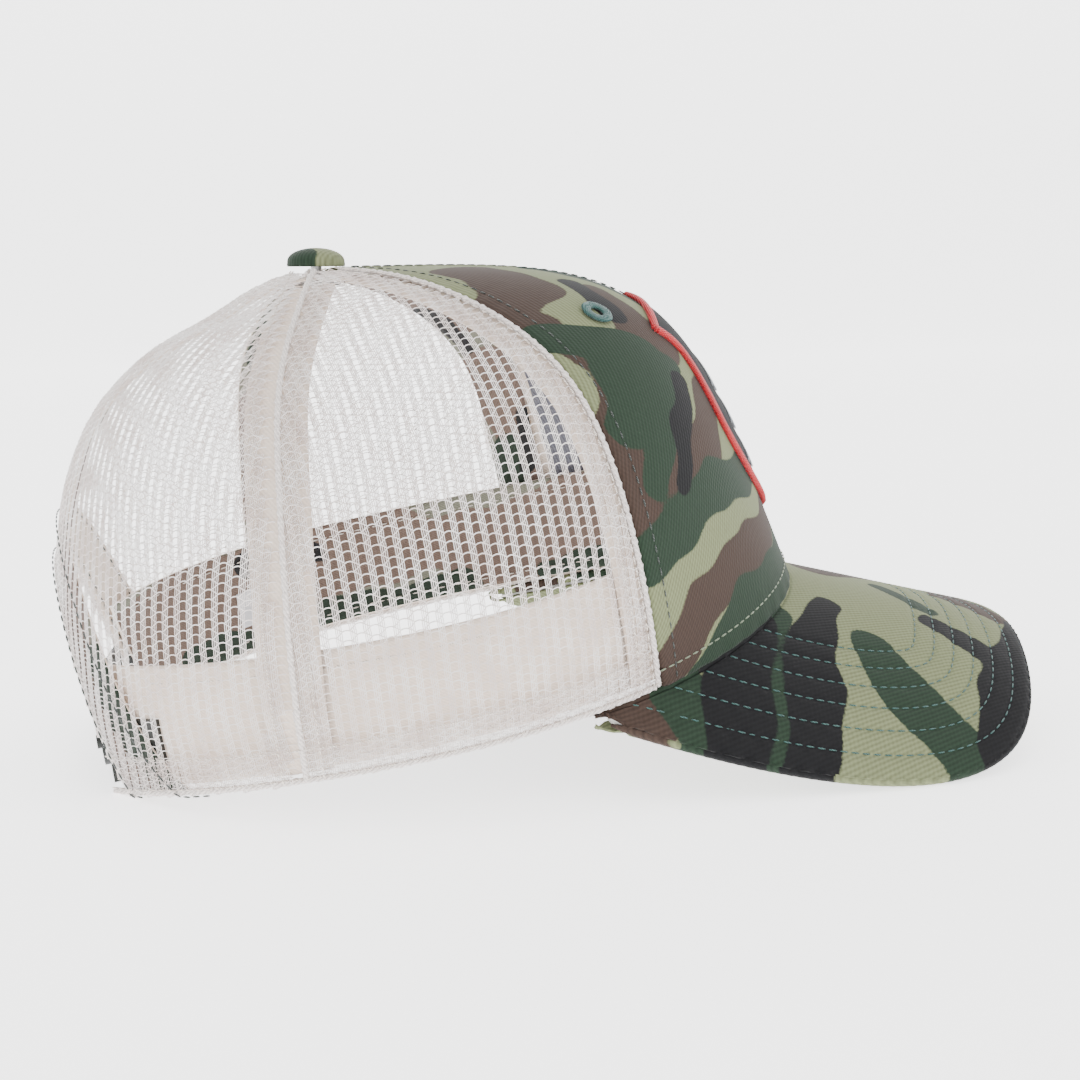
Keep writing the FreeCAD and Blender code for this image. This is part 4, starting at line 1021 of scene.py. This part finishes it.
front_rows, net_rows, band_rows = [], [], []
runs = np.linspace(0.06, 0.985, 260)
for side in (1, -1):
    front_rows.append(crown_row(side * beside(front_seam, runs, -5.2), runs, -0.1))
    front_rows.append(crown_row(side * 2.4 / girth(0 * runs, runs), runs, -0.42))
    for seam, offset in ((front_seam, 2.6), (front_seam, 6.4), (side_seam, -5.6), (side_seam, 4.8)):
        net_rows.append(crown_row(side * beside(seam, runs, offset), runs, -NET_STITCH_LIFT))
    turn = np.linspace(np.radians(63.5), np.radians(150), 200)
    for height in (2.6, 12.0):
        net_rows.append(crown_row(side * turn, run_above_hem(turn, height + 0 * turn), -NET_STITCH_LIFT))
sew("crown_topstitching", front_rows, dark_thread, pitch=2.9, length=2.1, width=0.4, rise=0.45)
sew("net_stitching", net_rows, cream_thread, pitch=2.9, length=2.3, width=0.42, rise=0.4)
turn = np.linspace(-np.radians(62), np.radians(62), 260)
sew("brow_hem_stitching", [crown_row(turn, run_above_hem(turn, 6.0 + 0 * turn), -0.12)], moss_thread,
    pitch=2.8, length=2.1, width=0.45, rise=0.5)
turn = np.linspace(-np.radians(148), np.radians(148), 700)
for height in (4.0, 31.5):
    band_rows.append(crown_row(turn, run_above_hem(turn, height + 0 * turn), 3.62))
    at, out = crown_row(turn, run_above_hem(turn, height + 0 * turn), 4.75)
    band_rows.append((at, -out))
sew("sweatband_stitching", band_rows, cream_thread, pitch=3.0, length=2.3, width=0.45,
    rise=0.4)
arch_rows = []
for margin in (1.8, BINDING_WIDTH - 1.6):
    arch_turn, arch_run = opening_edge(margin, 260)
    arch_rows.append(crown_row(arch_turn, arch_run, -0.55))
    at, out = crown_row(arch_turn, arch_run, 2.3)
    arch_rows.append((at, -out))
sew("rear_opening_stitching", arch_rows, dark_thread, pitch=2.9, length=2.2, width=0.45,
    rise=0.5)

# ---- Crest patch
# A shield of dense black twill with a sewn motif of three plain chevrons, edged by a merrowed
# border: red thread wrapped tightly over the cut edge. It stands proud of the panels.
PATCH_RUN, PATCH_WIDTH, PATCH_HEIGHT = 0.695, 70.0, 76.0
SHIELD_TOP = [(0, 0.5), (0.3, 0.45), (0.45, 0.41)]
SHIELD_SIDE = [(0.45, 0.41), (0.42, 0.3), (0.47, 0.12), (0.49, -0.06), (0.4, -0.26), (0.22, -0.42), (0, -0.5)]
BORDER_WIDTH, PATCH_LIFT, PATCH_THICK = 2.6, 0.25, 0.9
patch_middle = crown_skin(np.array(0.0), np.array(PATCH_RUN))
patch_out = crown_out(np.array(0.0), np.array(PATCH_RUN))
patch_up = np.cross(patch_out, y_way)


def smooth_through(points, count):
    """A curve through a few points, by Catmull-Rom spans."""
    points = np.array([points[0]] + list(points) + [points[-1]], float)
    spans = []
    for a, b, c, d in zip(points, points[1:], points[2:], points[3:]):
        t = np.linspace(0, 1, count, endpoint=False)[:, None]
        spans.append(0.5 * (2 * b + (c - a) * t + (2 * a - 5 * b + 4 * c - d) * t ** 2
                            + (3 * b - a - 3 * c + d) * t ** 3))
    return np.concatenate(spans + [points[-1:]])


half_shield = np.concatenate([smooth_through(SHIELD_TOP, 24)[:-1], smooth_through(SHIELD_SIDE, 24)])
shield = np.concatenate([half_shield, half_shield[-2:0:-1] * [-1, 1]])


def on_patch(across, up):
    """Turn and run of a place in the patch's own plane, mm from its middle."""
    wanted = (across + patch_middle @ y_way, up + patch_middle @ patch_up)
    return meet(crown_skin, y_way, patch_up, wanted, (across / 75.0, PATCH_RUN - up / 180.0))


def shield_line(margin):
    return on_patch(shield[:, 0] * (PATCH_WIDTH - 2 * margin), shield[:, 1] * (PATCH_HEIGHT - 2 * margin))


border_turn, border_run = shield_line(BORDER_WIDTH / 2)
red_thread = thread_material("red merrow thread", (0.62, 0.012, 0.02), 0.35)
border_line = crown_row(border_turn, border_run, -PATCH_LIFT - 0.55)
border = sew("patch_merrowed_border", [border_line], red_thread, pitch=0.52,
             length=0.62, width=2.9, rise=2.0, slant=0.45, closed=True)
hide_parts("patch_border")


def woven(name, base, pitch_mm, rib_shade_depth, bump_mm, roughness=0.85, lean_deg=45.0):
    material = new_material(name, roughness=roughness, Specular_IOR_Level=0.25)
    # The weave's ribs are painted lighter and its grooves darker, as light and shade.
    return add_weave(material, base, pitch_mm, lean_deg, rib_shade_depth, bump_mm)


wide_at = np.interp(-half_shield[:, 1], -half_shield[:, 1], half_shield[:, 0])
rows_used = np.arange(0, len(half_shield), 3)
field_wide = PATCH_WIDTH - 2 * (BORDER_WIDTH - 0.5)
field_high = PATCH_HEIGHT - 2 * (BORDER_WIDTH - 0.5)
across, up_row = np.meshgrid(np.linspace(-1, 1, 41), half_shield[rows_used, 1] * field_high, indexing="ij")
across = across * np.maximum(wide_at[rows_used] * field_wide, 0.3)[None, :]
base_turn, base_run = on_patch(across, up_row)
patch_cloth = cloth("patch_twill_field", crown(base_turn, base_run, -PATCH_LIFT - PATCH_THICK),
                    PATCH_THICK * MM, np.stack([across, up_row], -1) * MM,
                    materials=(woven("patch twill", (0.012, 0.012, 0.014), 0.7, 0.6, 0.1),), turned=-1)
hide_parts("patch_base")
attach(patch_cloth, "crown")
silver_thread = thread_material("silver embroidery thread", (0.36, 0.38, 0.41), 0.35)
chevron_rows = []
for level in (0.24, 0.08, -0.08):
    arm = np.linspace(-1, 1, 121)
    drop = 0.13 * (np.sqrt(arm ** 2 + 0.003) - 0.055)
    motif_turn, motif_run = on_patch(arm * 0.29 * PATCH_WIDTH, (level - 0.035 - drop) * PATCH_HEIGHT)
    chevron_rows.append(crown_row(motif_turn, motif_run, -PATCH_LIFT - 1.15))
motif = sew("patch_chevrons", chevron_rows, silver_thread, pitch=0.36, length=0.46,
            width=5.2, rise=0.7, slant=0.1)
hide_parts("patch_motif")

# ---- Covered button
# A pressed steel shell under a round of the camouflage twill, drawn tight so that its weave bends
# over the dome. A rivet holds it through the crown's top, with a plate on the inside.
def lathe(name, profile, materials, strokes=((), (), ())):
    """A turned piece in the button's place from (radius, height) points in mm, from axis to axis."""
    sides = 72
    spin = np.arange(sides) * 2 * np.pi / sides
    rings = profile[1:-1]
    points = [(0, 0, profile[0][1])] + [(r * np.cos(a), r * np.sin(a), z) for r, z in rings for a in spin]
    points = np.array(points + [(0, 0, profile[-1][1])])
    last = len(points) - 1
    faces = [(0, 1 + k, 1 + (k + 1) % sides) for k in range(sides)]
    faces += [(1 + i * sides + k, 1 + (i + 1) * sides + k, 1 + (i + 1) * sides + (k + 1) % sides,
               1 + i * sides + (k + 1) % sides)
              for i in range(len(rings) - 1) for k in range(sides)]
    faces += [(last, 1 + (len(rings) - 1) * sides + (k + 1) % sides,
               1 + (len(rings) - 1) * sides + k) for k in range(sides)]
    inks = print_attributes(points[:, 0], points[:, 1], *strokes)
    thing = mesh_object(name, apex + MM * points, faces, points[:, :2] * MM, inks, materials=materials)
    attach(thing, "crown")
    return thing


BUTTON_RADIUS, BUTTON_TOP, BUTTON_SKIRT, COVER_THICK = 7.8, 5.5, 1.7, 0.55
bend_over = np.linspace(0, 1, 22)
outside = [(BUTTON_RADIUS * math.sin(t * math.pi / 2),
            BUTTON_SKIRT + (BUTTON_TOP - BUTTON_SKIRT) * math.cos(t * math.pi / 2) ** 0.9)
           for t in bend_over]
inside = [(r * (1 - COVER_THICK / BUTTON_RADIUS), z - COVER_THICK) for r, z in outside[::-1]]
rim_turn = [(BUTTON_RADIUS + 0.1, 1.0), (BUTTON_RADIUS, 0.55), (BUTTON_RADIUS - 0.5, 0.5),
            (BUTTON_RADIUS - 0.6, 0.8)]
button = lathe("button_cloth", outside + rim_turn + inside, (camo,),
               ([], [[(-7, 2, 5), (-5, -5, 5)]], []))
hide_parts("button_cover")


def grained(name, base, roughness, grain_scale, grain_mm, **sockets):
    """Metal or plastic with a fine grain that shows in its colour, gloss and relief."""
    material, tree, shader = new_material(name, base, roughness, **sockets)
    grain = add_node(tree, "ShaderNodeTexNoise", "Fac", Scale=grain_scale, Detail=5,
                     Vector=add_node(tree, "ShaderNodeTexCoord", "Object"))
    gloss = add_node(tree, "ShaderNodeMapRange", "Result", Value=grain, To_Min=roughness * 0.8,
                     To_Max=roughness * 1.25)
    tree.links.new(gloss, shader.inputs["Roughness"])
    two_tones(tree, shader, base, grain, 0.8, 1.15)
    add_relief(tree, shader, grain, grain_mm * MM)
    return material


steel = grained("pressed steel", (0.55, 0.55, 0.55), 0.35, 1500, 0.02, Metallic=1.0)
finish_node("button_shell", steel)
finish_node("button_rivet", steel)

# ---- Eyelets
# A hole in each front panel, overcast with teal thread: radial stitches side by side over a ring.
EYELET_TURN, EYELET_RUN, EYELET_RADIUS = math.radians(35), 0.455, 3.05
for side, name in ((1, "left"), (-1, "right")):
    eye = crown_skin(np.array(side * EYELET_TURN), np.array(EYELET_RUN))
    out = crown_out(np.array(side * EYELET_TURN), np.array(EYELET_RUN))
    first = unit(np.cross(out, z_way))
    second = np.cross(out, first)
    spin = np.arange(90) * 2 * np.pi / 90
    ring = eye + out * 0.7 + EYELET_RADIUS * (np.cos(spin)[:, None] * first + np.sin(spin)[:, None] * second)
    overcast = sew("eyelet_stitches_" + name, [(apex + MM * ring, np.tile(out, (90, 1)))], teal_thread,
                   pitch=0.36, length=0.52, width=2.9, rise=1.3, closed=True)
    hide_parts("eyelet_" + name)

# ---- Woven label
# A small blank tape of white satin, its ends turned under, sewn to the inside of the sweatband.
LABEL_LENGTH, LABEL_HEIGHT, LABEL_FOOT, LABEL_TURN = 26.0, 12.0, 9.0, math.radians(115)
u, v = grid((-0.5, 0.5, 40), (0, 1, 20))
turn = LABEL_TURN + u * LABEL_LENGTH / girth(np.array(LABEL_TURN), np.array(0.9))
run = run_above_hem(turn, LABEL_FOOT + LABEL_HEIGHT * (1 - v))
edge_dip = 0.12 * (np.exp(-(0.5 - np.abs(u)) * 18) + np.exp(-np.minimum(v, 1 - v) * 10))
label_uv = np.stack([u * LABEL_LENGTH, v * LABEL_HEIGHT], -1) * MM
label = cloth("label_satin", crown(turn, run, 4.45 - edge_dip), 0.25 * MM, label_uv,
              materials=(woven("white satin", (0.78, 0.77, 0.8), 0.28, 0.12, 0.03, roughness=0.45,
                               lean_deg=0),), turned=-1)
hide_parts("woven_label")
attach(label, "crown")

# ---- Snap strap
# Two moulded strips of soft dark plastic, one with holes and one with studs, each with a sewn end.
strap_plastic = grained("soft moulded plastic", (0.020, 0.023, 0.021), 0.42, 2200, 0.03,
                        Specular_IOR_Level=0.45)
for name in ("strap_with_holes", "strap_with_studs", "strap_tab_left", "strap_tab_right"):
    finish_node(name, strap_plastic)
